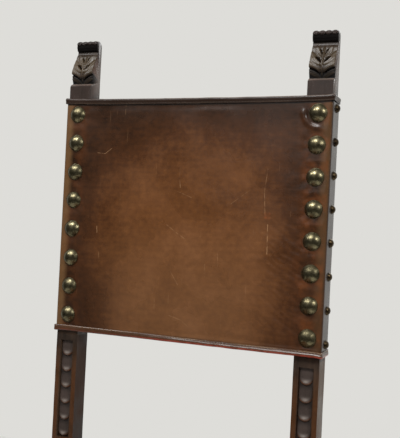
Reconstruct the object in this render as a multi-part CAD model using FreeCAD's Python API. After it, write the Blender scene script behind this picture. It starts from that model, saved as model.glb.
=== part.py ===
import FreeCAD, Part
import math
import os
from collections import namedtuple

# High-back side chair in carved hardwood, with a leather back and seat and domed brass nails.
# X runs across the chair, -Y is the front and +Z is up. The origin is on the floor, in the middle of
# the space that the chair takes up. Lengths are millimetres and angles are degrees.
# The back is drawn upright from the bend in its posts, with its front face at Y 0, and then leaned.
# What is the same on both sides is drawn on the right, where X is positive, and mirrored.

# Overall plan
post_spread = 428.0
seat_depth = 400.0
seat_frame_height = 442.0
recline = 7.3

# Back posts, raked backwards from a little below the seat rails down
post_width = 41.0
post_depth = 33.0
leg_depth = 38.0
bend_above_frame = 13.0
panel_above_bend = 236.0
rake_below_rail = 12.0
rake_reach = 24.0

# Finials, carved from the tops of the posts, measured up from the leather and back from the face
finial_block = 25.5
finial_chamfer = 4.0
leaf_setback = 8.0
belly_setback = 4.5
belly_height = 40.7
shoulder_setback = 9.5
shoulder_height = 58.6
neck_setback = 16.0
neck_height = 70.6
scroll_radius = 9.5
scroll_neck_share = 0.37
finial_height = 103.5

# Sunk channels with overlapping carved scales
channel_width = 23.6
channel_depth = 4.5
scale_pitch = 27.8
scale_inset = 0.7
scale_low = 2.4
scale_high = 0.7
scale_crown_radius = 26.0
scale_lap = 9.0
post_channel_gap = 17.0
post_scales = 6

# Front legs
front_leg = 41.0
foot_chamfer = 3.0
leg_lower_channel_bottom = 46.0
leg_lower_scales = 4
leg_upper_channel_bottom = 279.0
leg_upper_scales = 3

# Seat rails
rail_height = 70.0
rail_thickness = 22.0
rear_rail_setback = 8.0

# Front stretcher, a shaped and carved board with a round boss in its middle
front_stretcher_bottom = 180.0
front_stretcher_height = 82.0
front_stretcher_thickness = 20.0
front_stretcher_setback = 8.0
front_stretcher_scales = 5
arch_rise = 17.0
arch_from_leg = 24.0
middle_drop_width = 88.0
roundel_radius = 19.0
boss_radius = 11.0
boss_height = 5.0
boss_rim = 0.7

# Side and rear stretchers
side_stretcher_bottom = 96.0
side_stretcher_height = 34.0
rear_stretcher_bottom = 196.0
rear_stretcher_height = 34.0
stretcher_thickness = 20.0

# Mortise and tenon joints, each pinned by a peg
tenon_thickness = 10.0
tenon_length = 22.0
back_tenon_length = 18.0
tenon_shoulder = 8.0
joint_clearance = 0.1
peg_radius = 3.0
peg_depth = 27.0
peg_from_shoulder = 9.0
peg_above_tenon = 8.0
shank_clearance = 0.05

# Back rails, hidden behind the leather
back_rail_height = 42.0
back_rail_setback = 6.0
back_rail_from_edge = 6.0

# Leather back, with its edges bound
panel_height = 402.5
leather = 2.5
rear_leather = 2.0
binding_height = 10.0
binding = 1.5
back_crown = 7.0
back_crown_at_ends_share = 0.12
back_section_shares = (0, 0.15, 0.5, 0.85, 1)
soft_gap = 0.3

# Large domed nails
dome_radius = 14.5
dome_height = 8.5
dome_rim = 0.8
dome_shank_radius = 1.5
dome_shank = 16.0
back_dome_pitch = 49.4
back_domes = 8
seat_front_domes = 9
seat_side_domes = 8
seat_nail_drop = 21.0

# Small domed nails
stud_radius = 7.4
stud_height = 5.4
stud_rim = 0.5
stud_shank_radius = 1.0
stud_shank = 14.0
side_stud_pitch = 52.2
side_stud_setback = 20.0
rear_stud_inset = 20.5
rear_stud_rows = 9
rear_stud_columns = 7
seat_rear_studs = 7
nail_point = 4.0

# Webbing, tacks, canvas and stuffing
strap_width = 50.0
strap = 1.5
strap_sway = 0.85
seat_straps_each_way = 4
back_straps = 4
strap_from_edge = 4.5
tack_radius = 3.5
tack_height = 0.8
tack_rim = 0.4
tack_shank_radius = 0.8
tack_shank = 11.0
tack_spacing = 24.0
tack_from_end = 9.0
canvas = 1.0
layer_gap = 0.1

# Seat cushion
stuffing_edge = 9.0
seat_crown = 15.0
seat_crown_at_ends_share = 0.3
seat_section_shares = (0, 0.12, 0.5, 0.88, 1)
seat_edge_radius = 6.0
seat_skirt = 46.0

# Corner blocks and their screws
corner_block_thickness = 44.0
corner_block_drop = 12.0
corner_block_near = 14.0
corner_block_far = 52.0
screw_head_radius = 4.5
screw_head_depth = 3.2
screw_shank_radius = 2.2
screw_length = 38.0
screw_slot = 1.0

# How far a cutting tool runs past the face that it cuts
overrun = 5.0

# Places worked out from the sizes above
inner_x = (post_spread - post_width) / 2
post_x = post_spread / 2
outer_x = (post_spread + post_width) / 2
leg_inner_x = outer_x - front_leg
leg_x = outer_x - front_leg / 2
rail_inner_x = outer_x - rail_thickness
bend_height = seat_frame_height + bend_above_frame
rail_bottom = seat_frame_height - rail_height
rake_height = rail_bottom - rake_below_rail
panel_top = panel_above_bend + panel_height
panel_middle = panel_above_bend + panel_height / 2
post_top = panel_top + finial_height
scroll_y = post_depth - scroll_radius
scroll_z = post_top - scroll_radius
lean_sin = math.sin(math.radians(recline))
lean_cos = math.cos(math.radians(recline))
rear_reach = scroll_y * lean_cos + scroll_z * lean_sin + scroll_radius
front_reach = leather + dome_height
post_front = (front_reach + seat_depth - rear_reach) / 2
leg_front = post_front - seat_depth
leg_back = leg_front + front_leg
front_rail_back = leg_front + rail_thickness
rear_rail_front = post_front + rear_rail_setback
rear_rail_back = rear_rail_front + rail_thickness
seat_nail_z = seat_frame_height - seat_nail_drop
canvas_bottom = seat_frame_height + strap + strap_sway + layer_gap
stuffing_bottom = canvas_bottom + canvas + layer_gap
stuffing_edge_z = stuffing_bottom + stuffing_edge

V = FreeCAD.Vector
ORIGIN = V(0, 0, 0)
RIGHT = V(1, 0, 0)
BACK = V(0, 1, 0)
FRONT = V(0, -1, 0)
UP = V(0, 0, 1)
DOWN = V(0, 0, -1)
NO_TURN = FreeCAD.Rotation()
FULL_TURN = 360
LEAN = FreeCAD.Placement(V(0, post_front, bend_height), FreeCAD.Rotation(RIGHT, -recline))

# The chair's pieces by node, and the holes that are cut in them once all are drawn.
# A twin is a right-hand piece with a mirrored one on the left, a centred piece is made whole by its
# mirror image, and a group holds many small solids.
twins = {}
centred = {}
groups = {}
holes = {}

# A nail, peg or screw, drawn pointing down Z from the surface that it is driven into, and its hole
Fixing = namedtuple("Fixing", "solid hole")


def lean(shape):
    """A piece of the back, drawn upright, tilted into place."""
    tilted = shape.copy()
    tilted.Placement = LEAN.multiply(tilted.Placement)
    return tilted


def both_sides(shapes):
    return shapes + [shape.mirror(ORIGIN, RIGHT) for shape in shapes]


def aimed(shape, place, direction):
    """A piece drawn along +Z, set at a place and pointing in a direction."""
    turned = shape.copy()
    turned.Placement = FreeCAD.Placement(place, FreeCAD.Rotation(UP, direction))
    return turned


def box(x0, x1, y0, y1, z0, z1):
    return Part.makeBox(x1 - x0, y1 - y0, z1 - z0, V(x0, y0, z0))


def evenly(count, low, high):
    """Evenly spaced places from low to high."""
    return [low + i * (high - low) / (count - 1) for i in range(count)]


def around(middle, count, pitch):
    """Places a pitch apart, centred on a middle."""
    return [middle + (i - (count - 1) / 2) * pitch for i in range(count)]


def right_half(places):
    """The places on the right or on the middle, whose mirror images are the rest."""
    return [place for place in places if place > -layer_gap]


def outline(start, steps, to_space):
    """A flat face: each step is the end of a line, or the middle and the end of an arc."""
    edges = []
    here = start
    for step in steps + [start]:
        is_arc = isinstance(step[0], tuple)
        end = step[1] if is_arc else step
        if is_arc:
            edges.append(Part.Arc(to_space(*here), to_space(*step[0]), to_space(*end)).toShape())
        elif to_space(*here) != to_space(*end):
            edges.append(Part.LineSegment(to_space(*here), to_space(*end)).toShape())
        here = end
    return Part.Face(Part.Wire(edges))


def turned_solid(start, steps):
    """A solid of revolution about Z, from an outline in radius and height."""
    return outline(start, steps, lambda radius, z: V(radius, 0, z)).revolve(ORIGIN, UP, FULL_TURN)


# Nails, tacks, pegs and screws


def dome_arc(radius, height, rim):
    """The step that rounds a dome from its top down to its rim."""
    cap = height - rim
    sphere = (radius ** 2 + cap ** 2) / (2 * cap)
    half_angle = math.asin(radius / sphere) / 2
    halfway = (sphere * math.sin(half_angle), height - sphere + sphere * math.cos(half_angle))
    return (halfway, (radius, rim))


def shank_hole(radius, length):
    return Part.makeCylinder(radius + shank_clearance, length + shank_clearance, ORIGIN, DOWN)


def domed_nail(radius, height, rim, shank_radius, shank):
    steps = [
        dome_arc(radius, height, rim),
        (radius, 0),
        (shank_radius, 0),
        (shank_radius, nail_point - shank),
        (0, -shank),
    ]
    return Fixing(turned_solid((0, height), steps), shank_hole(shank_radius, shank))


def slotted_screw():
    steps = [
        (screw_head_radius, 0),
        (screw_shank_radius, -screw_head_depth),
        (screw_shank_radius, nail_point - screw_length),
        (0, -screw_length),
    ]
    plain = turned_solid((0, 0), steps)
    half = screw_slot / 2
    slot = box(-screw_head_radius, screw_head_radius, -half, half, -screw_slot, 0)
    return Fixing(plain.cut(slot), plain)


LARGE_NAIL = domed_nail(dome_radius, dome_height, dome_rim, dome_shank_radius, dome_shank)
SMALL_NAIL = domed_nail(stud_radius, stud_height, stud_rim, stud_shank_radius, stud_shank)
TACK = domed_nail(tack_radius, tack_height, tack_rim, tack_shank_radius, tack_shank)
PEG = Fixing(Part.makeCylinder(peg_radius, peg_depth, ORIGIN, DOWN), shank_hole(peg_radius, peg_depth))
SCREW = slotted_screw()


def cut_later(names, tool):
    """A hole in each of the named pieces, cut once every piece is drawn."""
    for name in names:
        holes.setdefault(name, []).append(tool)


def drive(node, fixing, spots, outwards, through, placed=Part.Shape.copy):
    """Fixings driven in at spots, heads facing outwards, with mirror images of those off the middle."""
    for spot in spots:
        solids = [placed(aimed(fixing.solid, spot, outwards))]
        on_middle = abs(spot.x) < layer_gap
        groups.setdefault(node, []).extend(solids if on_middle else both_sides(solids))
        cut_later(through, placed(aimed(fixing.hole, spot, outwards)))


# Carving


def scale_row(count):
    """Overlapping tongues down from z 0, each rising from under the last to its round tip."""
    half = channel_width / 2 - scale_inset
    slope = math.degrees(math.atan((scale_low - scale_high) / scale_pitch))
    tongues = []
    for i in range(count):
        top = scale_lap if i else -scale_inset
        steps = [
            (half, half - scale_pitch),
            ((0, scale_inset - scale_pitch), (-half, half - scale_pitch)),
            (-half, top),
        ]
        tongue = outline((half, top), steps, lambda x, z: V(x, 0, z)).extrude(BACK * channel_depth)
        reach = 2 * scale_pitch
        crown = Part.makeCylinder(scale_crown_radius, 2 * reach, V(0, 0, -reach), UP)
        crown.rotate(ORIGIN, RIGHT, slope)
        crown.translate(BACK * (scale_low + scale_crown_radius))
        tongue = tongue.common(crown)
        tongue.translate(DOWN * (i * scale_pitch))
        tongues.append(tongue)
    return tongues[0].fuse(tongues[1:]).removeSplitter()


def carved(wood, count, place):
    """A sunk channel filled with a row of scales, cut down from a place on a face."""
    half = channel_width / 2
    channel = box(-half, half, -overrun, channel_depth, -count * scale_pitch, 0)
    scales = scale_row(count)
    channel.Placement = place
    scales.Placement = place.multiply(scales.Placement)
    return wood.cut(channel).fuse(scales)


# Wooden joints


def tenon_across(x, y_middle, z0, z1, length):
    """A tenon that runs along X from its shoulder."""
    half = tenon_thickness / 2
    return box(x, x + length, y_middle - half, y_middle + half, z0, z1)


def tenon_along(x_middle, y0, y1, z0, z1):
    """A tenon that runs along Y."""
    half = tenon_thickness / 2
    return box(x_middle - half, x_middle + half, y0, y1, z0, z1)


def mortise(tenon):
    """The hole for a tenon: its box with the joint's clearance all round."""
    room = tenon.BoundBox
    room.enlarge(joint_clearance)
    return box(room.XMin, room.XMax, room.YMin, room.YMax, room.ZMin, room.ZMax)


def peg(place, outwards, through):
    drive("joint_pegs", PEG, [place], outwards, through)


def rake_at(height):
    """How far the rear leg has moved backwards at a height."""
    return rake_reach * (1 - height / rake_height)


# Posts and legs


def post_outline():
    """A back post seen from the side, with its scrolled finial."""
    def leaned(y, z):
        spot = LEAN.multVec(V(0, y, z))
        return (spot.y, spot.z)

    neck_y = scroll_y - scroll_radius * scroll_neck_share
    neck_z = scroll_z - scroll_radius * math.sqrt(1 - scroll_neck_share ** 2)
    eighth = scroll_radius * math.sqrt(0.5)
    rear_bend = (leg_depth - post_depth * lean_cos) / lean_sin
    steps = [
        (post_front, rake_height),
        (post_front, bend_height),
        leaned(0, panel_top + finial_block - finial_chamfer),
        leaned(finial_chamfer, panel_top + finial_block),
        leaned(leaf_setback, panel_top + finial_block),
        (leaned(belly_setback, panel_top + belly_height),
         leaned(shoulder_setback, panel_top + shoulder_height)),
        (leaned(neck_setback, panel_top + neck_height), leaned(neck_y, neck_z)),
        (leaned(scroll_y - scroll_radius, scroll_z), leaned(scroll_y, post_top)),
        (leaned(scroll_y + eighth, scroll_z + eighth), leaned(post_depth, scroll_z)),
        leaned(post_depth, rear_bend),
        (post_front + leg_depth, rake_height),
        (post_front + leg_depth + rake_reach, 0),
    ]
    return outline((post_front + rake_reach, 0), steps, lambda y, z: V(inner_x, y, z))


def build_posts():
    post = post_outline().extrude(RIGHT * post_width)
    top = FreeCAD.Placement(V(post_x, 0, panel_above_bend - post_channel_gap), NO_TURN)
    twins["back_post"] = carved(post, post_scales, LEAN.multiply(top))


def build_front_legs():
    leg = box(leg_inner_x, outer_x, leg_front, leg_back, 0, seat_frame_height)
    foot_edges = [edge for edge in leg.Edges if edge.BoundBox.ZMax < foot_chamfer]
    leg = leg.makeChamfer(foot_chamfer, foot_edges)
    for bottom, count in ((leg_lower_channel_bottom, leg_lower_scales),
                          (leg_upper_channel_bottom, leg_upper_scales)):
        top = V(leg_x, leg_front, bottom + count * scale_pitch)
        leg = carved(leg, count, FreeCAD.Placement(top, NO_TURN))
    twins["front_leg"] = leg


# Seat frame


def build_front_seat_rail(z0, z1, peg_z):
    rail = box(-leg_inner_x, leg_inner_x, leg_front, front_rail_back, rail_bottom, seat_frame_height)
    tenon = tenon_across(leg_inner_x, (leg_front + front_rail_back) / 2, z0, z1, tenon_length)
    centred["front_seat_rail"] = rail.fuse(tenon)
    cut_later(["front_leg"], mortise(tenon))
    peg(V(leg_inner_x + peg_from_shoulder, leg_front, peg_z), FRONT, ["front_leg", "front_seat_rail"])


def build_rear_seat_rail(z0, z1, peg_z):
    rail = box(-inner_x, inner_x, rear_rail_front, rear_rail_back, rail_bottom, seat_frame_height)
    tenon = tenon_across(inner_x, (rear_rail_front + rear_rail_back) / 2, z0, z1, tenon_length)
    centred["rear_seat_rail"] = rail.fuse(tenon)
    cut_later(["back_post"], mortise(tenon))
    peg(V(inner_x + peg_from_shoulder, post_front + leg_depth, peg_z), BACK,
        ["back_post", "rear_seat_rail"])


def build_side_seat_rails(z0, z1, peg_z):
    middle = (rail_inner_x + outer_x) / 2
    rail = box(rail_inner_x, outer_x, leg_back, post_front, rail_bottom, seat_frame_height)
    front_tenon = tenon_along(middle, leg_back - tenon_length, leg_back, z0, z1)
    rear_tenon = tenon_along(middle, post_front, post_front + tenon_length, z0, z1)
    twins["seat_rail"] = rail.fuse([front_tenon, rear_tenon])
    cut_later(["front_leg"], mortise(front_tenon))
    cut_later(["back_post"], mortise(rear_tenon))
    peg(V(outer_x, leg_back - peg_from_shoulder, peg_z), RIGHT, ["front_leg", "seat_rail"])
    peg(V(outer_x, post_front + peg_from_shoulder, peg_z), RIGHT, ["back_post", "seat_rail"])


def build_seat_rails():
    z0 = rail_bottom + tenon_shoulder
    z1 = seat_frame_height - tenon_shoulder
    for build in (build_front_seat_rail, build_rear_seat_rail, build_side_seat_rails):
        build(z0, z1, z0 + peg_above_tenon)


def build_corner_blocks():
    """Glued blocks across the corners of the seat frame, each with a screw aimed at its leg."""
    leg = box(leg_inner_x, outer_x, leg_front, leg_back, 0, seat_frame_height)
    post = box(inner_x, outer_x, post_front, post_front + leg_depth, 0, seat_frame_height)
    z0 = seat_frame_height - corner_block_drop - corner_block_thickness
    screw_z = z0 + corner_block_thickness / 2
    corners = (
        ("front_corner_block", leg_back, front_rail_back, 1, ["front_leg", "front_seat_rail"]),
        ("rear_corner_block", post_front, rear_rail_front, -1, ["back_post", "rear_seat_rail"]),
    )
    for name, corner_y, rail_y, inwards, neighbours in corners:
        steps = [
            (inner_x - corner_block_far, rail_y),
            (rail_inner_x, corner_y + inwards * corner_block_far),
            (rail_inner_x, corner_y + inwards * corner_block_near),
        ]
        plan = outline((inner_x - corner_block_near, rail_y), steps, lambda x, y: V(x, y, z0))
        twins[name] = plan.extrude(UP * corner_block_thickness).cut([leg, post])
        to_leg = V(1, -inwards, 0).normalize()
        corner = V(inner_x, corner_y, screw_z)
        long_face = V(rail_inner_x, corner_y + inwards * corner_block_far, screw_z)
        spot = corner - to_leg * (corner - long_face).dot(to_leg)
        drive("corner_block_screws", SCREW, [spot], -to_leg, neighbours + [name, "seat_rail"])


# Stretchers


def front_board():
    """A board with two shallow arches in its lower edge, carved on both sides of a round boss."""
    bottom = front_stretcher_bottom
    top = bottom + front_stretcher_height
    face_y = leg_front + front_stretcher_setback
    arch_end = leg_inner_x - arch_from_leg
    drop_end = middle_drop_width / 2
    arch_middle = (arch_end + drop_end) / 2
    steps = [
        (leg_inner_x, top),
        (leg_inner_x, bottom),
        (arch_end, bottom),
        ((arch_middle, bottom + arch_rise), (drop_end, bottom)),
        (-drop_end, bottom),
        ((-arch_middle, bottom + arch_rise), (-arch_end, bottom)),
        (-leg_inner_x, bottom),
    ]
    face = outline((-leg_inner_x, top), steps, lambda x, z: V(x, face_y, z))
    board = face.extrude(BACK * front_stretcher_thickness)
    axis_z = (top + bottom + arch_rise) / 2
    for side in (1, -1):
        start = V(side * (roundel_radius + scale_inset), face_y, axis_z)
        sideways = FreeCAD.Rotation(DOWN, RIGHT * side)
        board = carved(board, front_stretcher_scales, FreeCAD.Placement(start, sideways))
    sunk = Part.makeCylinder(roundel_radius, channel_depth + overrun, V(0, face_y - overrun, axis_z), BACK)
    boss_steps = [dome_arc(boss_radius, boss_height, boss_rim), (boss_radius, 0), (0, 0)]
    boss = aimed(turned_solid((0, boss_height), boss_steps), V(0, face_y + channel_depth, axis_z), FRONT)
    return board.cut(sunk).fuse(boss)


def build_front_stretcher():
    middle = leg_front + front_stretcher_setback + front_stretcher_thickness / 2
    z0 = front_stretcher_bottom + tenon_shoulder
    z1 = front_stretcher_bottom + front_stretcher_height - tenon_shoulder
    tenon = tenon_across(leg_inner_x, middle, z0, z1, tenon_length)
    centred["front_stretcher"] = front_board().fuse(tenon)
    cut_later(["front_leg"], mortise(tenon))
    peg(V(leg_inner_x + peg_from_shoulder, leg_back, (z0 + z1) / 2), BACK,
        ["front_leg", "front_stretcher"])


def build_side_stretchers():
    bottom = side_stretcher_bottom
    top = bottom + side_stretcher_height
    x0 = post_x - stretcher_thickness / 2
    steps = [
        (leg_back, top),
        (post_front + rake_at(top), top),
        (post_front + rake_at(bottom), bottom),
    ]
    rail = outline((leg_back, bottom), steps, lambda y, z: V(x0, y, z)).extrude(RIGHT * stretcher_thickness)
    z0 = bottom + tenon_shoulder
    z1 = top - tenon_shoulder
    rear_face = post_front + rake_at(z1)
    front_tenon = tenon_along(post_x, leg_back - tenon_length, leg_back, z0, z1)
    rear_tenon = tenon_along(post_x, rear_face, rear_face + tenon_length, z0, z1)
    twins["side_stretcher"] = rail.fuse([front_tenon, rear_tenon])
    cut_later(["front_leg"], mortise(front_tenon))
    cut_later(["back_post"], mortise(rear_tenon))
    peg_z = (z0 + z1) / 2
    peg(V(outer_x, leg_back - peg_from_shoulder, peg_z), RIGHT, ["front_leg", "side_stretcher"])
    peg(V(outer_x, rear_face + peg_from_shoulder, peg_z), RIGHT, ["back_post", "side_stretcher"])


def build_rear_stretcher():
    bottom = rear_stretcher_bottom
    top = bottom + rear_stretcher_height
    middle_z = (bottom + top) / 2
    front_y = post_front + rake_at(middle_z)
    middle = front_y + leg_depth / 2
    half = stretcher_thickness / 2
    rail = box(-inner_x, inner_x, middle - half, middle + half, bottom, top)
    tenon = tenon_across(inner_x, middle, bottom + tenon_shoulder, top - tenon_shoulder, tenon_length)
    centred["rear_stretcher"] = rail.fuse(tenon)
    cut_later(["back_post"], mortise(tenon))
    peg(V(inner_x + peg_from_shoulder, front_y + leg_depth, middle_z), BACK,
        ["back_post", "rear_stretcher"])


# Back frame and its covers


def build_back_rails():
    """The two hidden rails that hold the posts apart."""
    middle = (back_rail_setback + post_depth) / 2
    lower = panel_above_bend + back_rail_from_edge
    upper = panel_top - back_rail_from_edge - back_rail_height
    for name, z0 in (("upper_back_rail", upper), ("lower_back_rail", lower)):
        z1 = z0 + back_rail_height
        rail = box(-inner_x, inner_x, back_rail_setback, post_depth, z0, z1)
        tenon = tenon_across(inner_x, middle, z0 + tenon_shoulder, z1 - tenon_shoulder, back_tenon_length)
        centred[name] = lean(rail.fuse(tenon))
        cut_later(["back_post"], lean(mortise(tenon)))
        spot = V(inner_x + peg_from_shoulder, post_depth, (z0 + z1) / 2)
        drive("joint_pegs", PEG, [spot], BACK, ["back_post", name], lean)


def back_swell(half_width, z0, z1, start_y):
    """The padded swell of the back, forward of a plane, flattening out at its top and bottom."""
    sections = []
    for share in back_section_shares:
        z = z0 + share * (z1 - z0)
        fullness = back_crown_at_ends_share + (1 - back_crown_at_ends_share) * math.sin(math.pi * share)
        steps = [
            ((0, start_y - back_crown * fullness), (-half_width, start_y)),
            (-half_width, start_y + leather),
            (half_width, start_y + leather),
        ]
        sections.append(outline((half_width, start_y), steps, lambda x, y: V(x, y, z)).OuterWire)
    return Part.makeLoft(sections, True, False)


def build_back_webbing():
    """Upright straps on the front of the back rails, held by a pair of tacks at each end."""
    front_y = back_rail_setback - strap
    z0 = panel_above_bend + back_rail_from_edge
    z1 = panel_top - back_rail_from_edge
    columns = around(0, back_straps, 2 * inner_x / back_straps)
    half = strap_width / 2
    straps = [box(x - half, x + half, front_y, back_rail_setback, z0, z1) for x in columns]
    groups["back_webbing"] = [lean(s) for s in straps]
    tack_x = [x + d for x in columns for d in (-tack_spacing / 2, tack_spacing / 2)]
    ends = (z0 + tack_from_end, z1 - tack_from_end)
    drive("back_webbing_tacks", TACK, [V(x, front_y, z) for x in right_half(tack_x) for z in ends], FRONT,
          ["back_webbing", "upper_back_rail", "lower_back_rail"], lean)


def build_back_padding():
    half = inner_x - soft_gap
    z0 = panel_above_bend + binding_height
    z1 = panel_top - binding_height
    canvas_back = back_rail_setback - strap - tack_height - layer_gap
    canvas_front = canvas_back - canvas
    centred["back_canvas"] = lean(box(-half, half, canvas_front, canvas_back, z0, z1))
    half -= soft_gap
    z0 += soft_gap
    z1 -= soft_gap
    pad = box(-half, half, soft_gap, canvas_front - layer_gap, z0, z1)
    room = box(-half, half, -back_crown - overrun, soft_gap, z0, z1)
    centred["back_stuffing"] = lean(pad.fuse(back_swell(half, z0, z1, soft_gap).common(room)))


def build_back_leathers():
    """The front leather wraps round the posts' outer faces, and the rear one lies flat."""
    wide = outer_x + leather
    z0 = panel_above_bend + binding
    z1 = panel_top - binding
    shell = box(-wide, wide, -leather, post_depth, z0, z1)
    shell = shell.cut(box(-outer_x, outer_x, 0, post_depth + overrun, z0 - overrun, z1 + overrun))
    half = inner_x - soft_gap
    swell_z0 = panel_above_bend + binding_height
    swell_z1 = panel_top - binding_height
    outer_swell = back_swell(half, swell_z0, swell_z1, -leather)
    inner_swell = back_swell(half, swell_z0, swell_z1, 0)
    centred["back_front_leather"] = lean(shell.fuse(outer_swell).cut(inner_swell))
    rear = box(-outer_x, outer_x, post_depth, post_depth + rear_leather, z0, z1)
    centred["back_rear_leather"] = lean(rear)


def edge_binding(low, high, inside_low, inside_high):
    """A strip folded over one edge of both leathers and round the outside of the posts."""
    wide = outer_x + leather + binding
    outside = box(-wide, wide, -leather - binding, post_depth + rear_leather + binding, low, high)
    inside = box(binding - wide, wide - binding, -leather, post_depth + rear_leather,
                 inside_low, inside_high)
    post = box(inner_x, outer_x, 0, post_depth, low - overrun, high + overrun)
    return lean(outside.cut([inside] + both_sides([post])))


def build_bindings():
    low = panel_above_bend
    high = panel_top
    centred["upper_binding"] = edge_binding(high - binding_height, high, low, high - binding)
    centred["lower_binding"] = edge_binding(low, low + binding_height, low + binding, high)


def nail_back():
    rows = around(panel_middle, back_domes, back_dome_pitch)
    drive("back_front_nails", LARGE_NAIL, [V(post_x, -leather, z) for z in rows], FRONT,
          ["back_post", "back_front_leather"], lean)
    rows = around(panel_middle, back_domes, side_stud_pitch)
    drive("back_side_nails", SMALL_NAIL, [V(outer_x + leather, side_stud_setback, z) for z in rows], RIGHT,
          ["back_post", "back_front_leather"], lean)
    rear_y = post_depth + rear_leather
    rows = evenly(rear_stud_rows, panel_above_bend + rear_stud_inset, panel_top - rear_stud_inset)
    drive("back_rear_nails", SMALL_NAIL, [V(post_x, rear_y, z) for z in rows], BACK,
          ["back_post", "back_rear_leather"], lean)
    columns = right_half(evenly(rear_stud_columns, -post_x, post_x)[1:-1])
    drive("back_rear_nails", SMALL_NAIL, [V(x, rear_y, z) for x in columns for z in (rows[0], rows[-1])],
          BACK, ["back_rear_leather", "upper_back_rail", "lower_back_rail"], lean)


# Seat


def ribbon(line, to_space, sweep):
    """A flat strap that follows a line of points at the middle of its thickness."""
    half = strap / 2
    edge = [(a, z + half) for a, z in line] + [(a, z - half) for a, z in reversed(line)]
    return outline(edge[0], edge[1:], to_space).extrude(sweep)


def woven(crossings, side, middle_z, rail_to_rail, tacked_ends):
    """The line of a strap that passes over and under those it crosses, flat at each crossing."""
    reach = strap_width / 2 + strap
    line = [(tacked_ends[0], middle_z), (rail_to_rail[0], middle_z)]
    for place in crossings:
        level = middle_z + side * strap_sway
        line += [(place - reach, level), (place + reach, level)]
        side = -side
    return line + [(rail_to_rail[1], middle_z), (tacked_ends[1], middle_z)]


def build_seat_webbing():
    """Woven straps across the top of the seat frame, held by a pair of tacks at each end."""
    middle_z = seat_frame_height + strap / 2
    half = strap_width / 2
    count = seat_straps_each_way
    columns = around(0, count, 2 * rail_inner_x / count)
    rows = around((leg_back + post_front) / 2, count, (post_front - leg_back) / count)
    side_end = outer_x - strap_from_edge
    front_end = leg_front + strap_from_edge
    rear_end = rear_rail_back - strap_from_edge
    groups["seat_webbing_long"] = []
    groups["seat_webbing_cross"] = []
    for i, x in enumerate(columns):
        line = woven(rows, 1 if i % 2 else -1, middle_z, (front_rail_back, rear_rail_front),
                     (front_end, rear_end))
        strip = ribbon(line, lambda y, z: V(x - half, y, z), RIGHT * strap_width)
        groups["seat_webbing_long"].append(strip)
    for i, y in enumerate(rows):
        line = woven(columns, -1 if i % 2 else 1, middle_z, (-rail_inner_x, rail_inner_x),
                     (-side_end, side_end))
        strip = ribbon(line, lambda x, z: V(x, y - half, z), BACK * strap_width)
        groups["seat_webbing_cross"].append(strip)
    top_z = seat_frame_height + strap
    pair = (-tack_spacing / 2, tack_spacing / 2)
    tack_x = right_half([x + d for x in columns for d in pair])
    tack_y = (front_end + tack_from_end, rear_end - tack_from_end)
    drive("seat_webbing_tacks", TACK, [V(x, y, top_z) for x in tack_x for y in tack_y], UP,
          ["seat_webbing_long", "front_seat_rail", "rear_seat_rail"])
    tack_x = side_end - tack_from_end
    drive("seat_webbing_tacks", TACK, [V(tack_x, y + d, top_z) for y in rows for d in pair], UP,
          ["seat_webbing_cross", "seat_rail"])


def cushion(half_width, y0, y1, z0, edge_z, corner):
    """A crowned cushion: round-shouldered sections along Y, fullest in the middle."""
    shoulder = half_width - corner
    turn = corner * (1 - math.sqrt(0.5))
    sections = []
    for share in seat_section_shares:
        y = y0 + share * (y1 - y0)
        fullness = seat_crown_at_ends_share + (1 - seat_crown_at_ends_share) * math.sin(math.pi * share)
        steps = [
            (half_width, edge_z - corner),
            ((half_width - turn, edge_z - turn), (shoulder, edge_z)),
            ((0, edge_z + seat_crown * fullness), (-shoulder, edge_z)),
            ((turn - half_width, edge_z - turn), (-half_width, edge_z - corner)),
            (-half_width, z0),
        ]
        sections.append(outline((half_width, z0), steps, lambda x, z: V(x, y, z)).OuterWire)
    return Part.makeLoft(sections, True, False)


def build_seat_covers():
    """Canvas, stuffing and leather over the webbing, notched round the back posts."""
    post = box(inner_x - soft_gap, outer_x + leather + overrun, post_front - soft_gap,
               rear_rail_back + leather + overrun, 0, bend_height + panel_above_bend)
    posts = both_sides([post])
    sheet = box(-outer_x, outer_x, leg_front, rear_rail_back, canvas_bottom, canvas_bottom + canvas)
    stuffing = cushion(outer_x - soft_gap, leg_front + soft_gap, rear_rail_back - soft_gap,
                       stuffing_bottom, stuffing_edge_z, seat_edge_radius)
    skirt_z = seat_frame_height - seat_skirt
    inner_z = stuffing_edge_z + soft_gap
    outside = cushion(outer_x + leather, leg_front - leather, rear_rail_back + leather, skirt_z,
                      inner_z + leather, seat_edge_radius + leather)
    inside = cushion(outer_x, leg_front, rear_rail_back, skirt_z - overrun, inner_z, seat_edge_radius)
    centred["seat_canvas"] = sheet.cut(posts)
    centred["seat_stuffing"] = stuffing.cut(posts)
    centred["seat_leather"] = outside.cut([inside] + posts)


def nail_seat():
    columns = right_half(evenly(seat_front_domes, -leg_x, leg_x))
    drive("seat_front_nails", LARGE_NAIL, [V(x, leg_front - leather, seat_nail_z) for x in columns], FRONT,
          ["seat_leather", "front_leg", "front_seat_rail", "seat_rail"])
    along = evenly(seat_side_domes, leg_front + front_leg / 2, post_front - front_leg / 2)
    drive("seat_side_nails", LARGE_NAIL, [V(outer_x + leather, y, seat_nail_z) for y in along], RIGHT,
          ["seat_leather", "front_leg", "seat_rail"])
    reach = inner_x - front_leg / 2
    columns = right_half(evenly(seat_rear_studs, -reach, reach))
    drive("seat_rear_nails", SMALL_NAIL, [V(x, rear_rail_back + leather, seat_nail_z) for x in columns],
          BACK, ["seat_leather", "rear_seat_rail"])


def export(node, shape):
    shape.exportStep(os.path.join("parts", node + ".step"))


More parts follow.
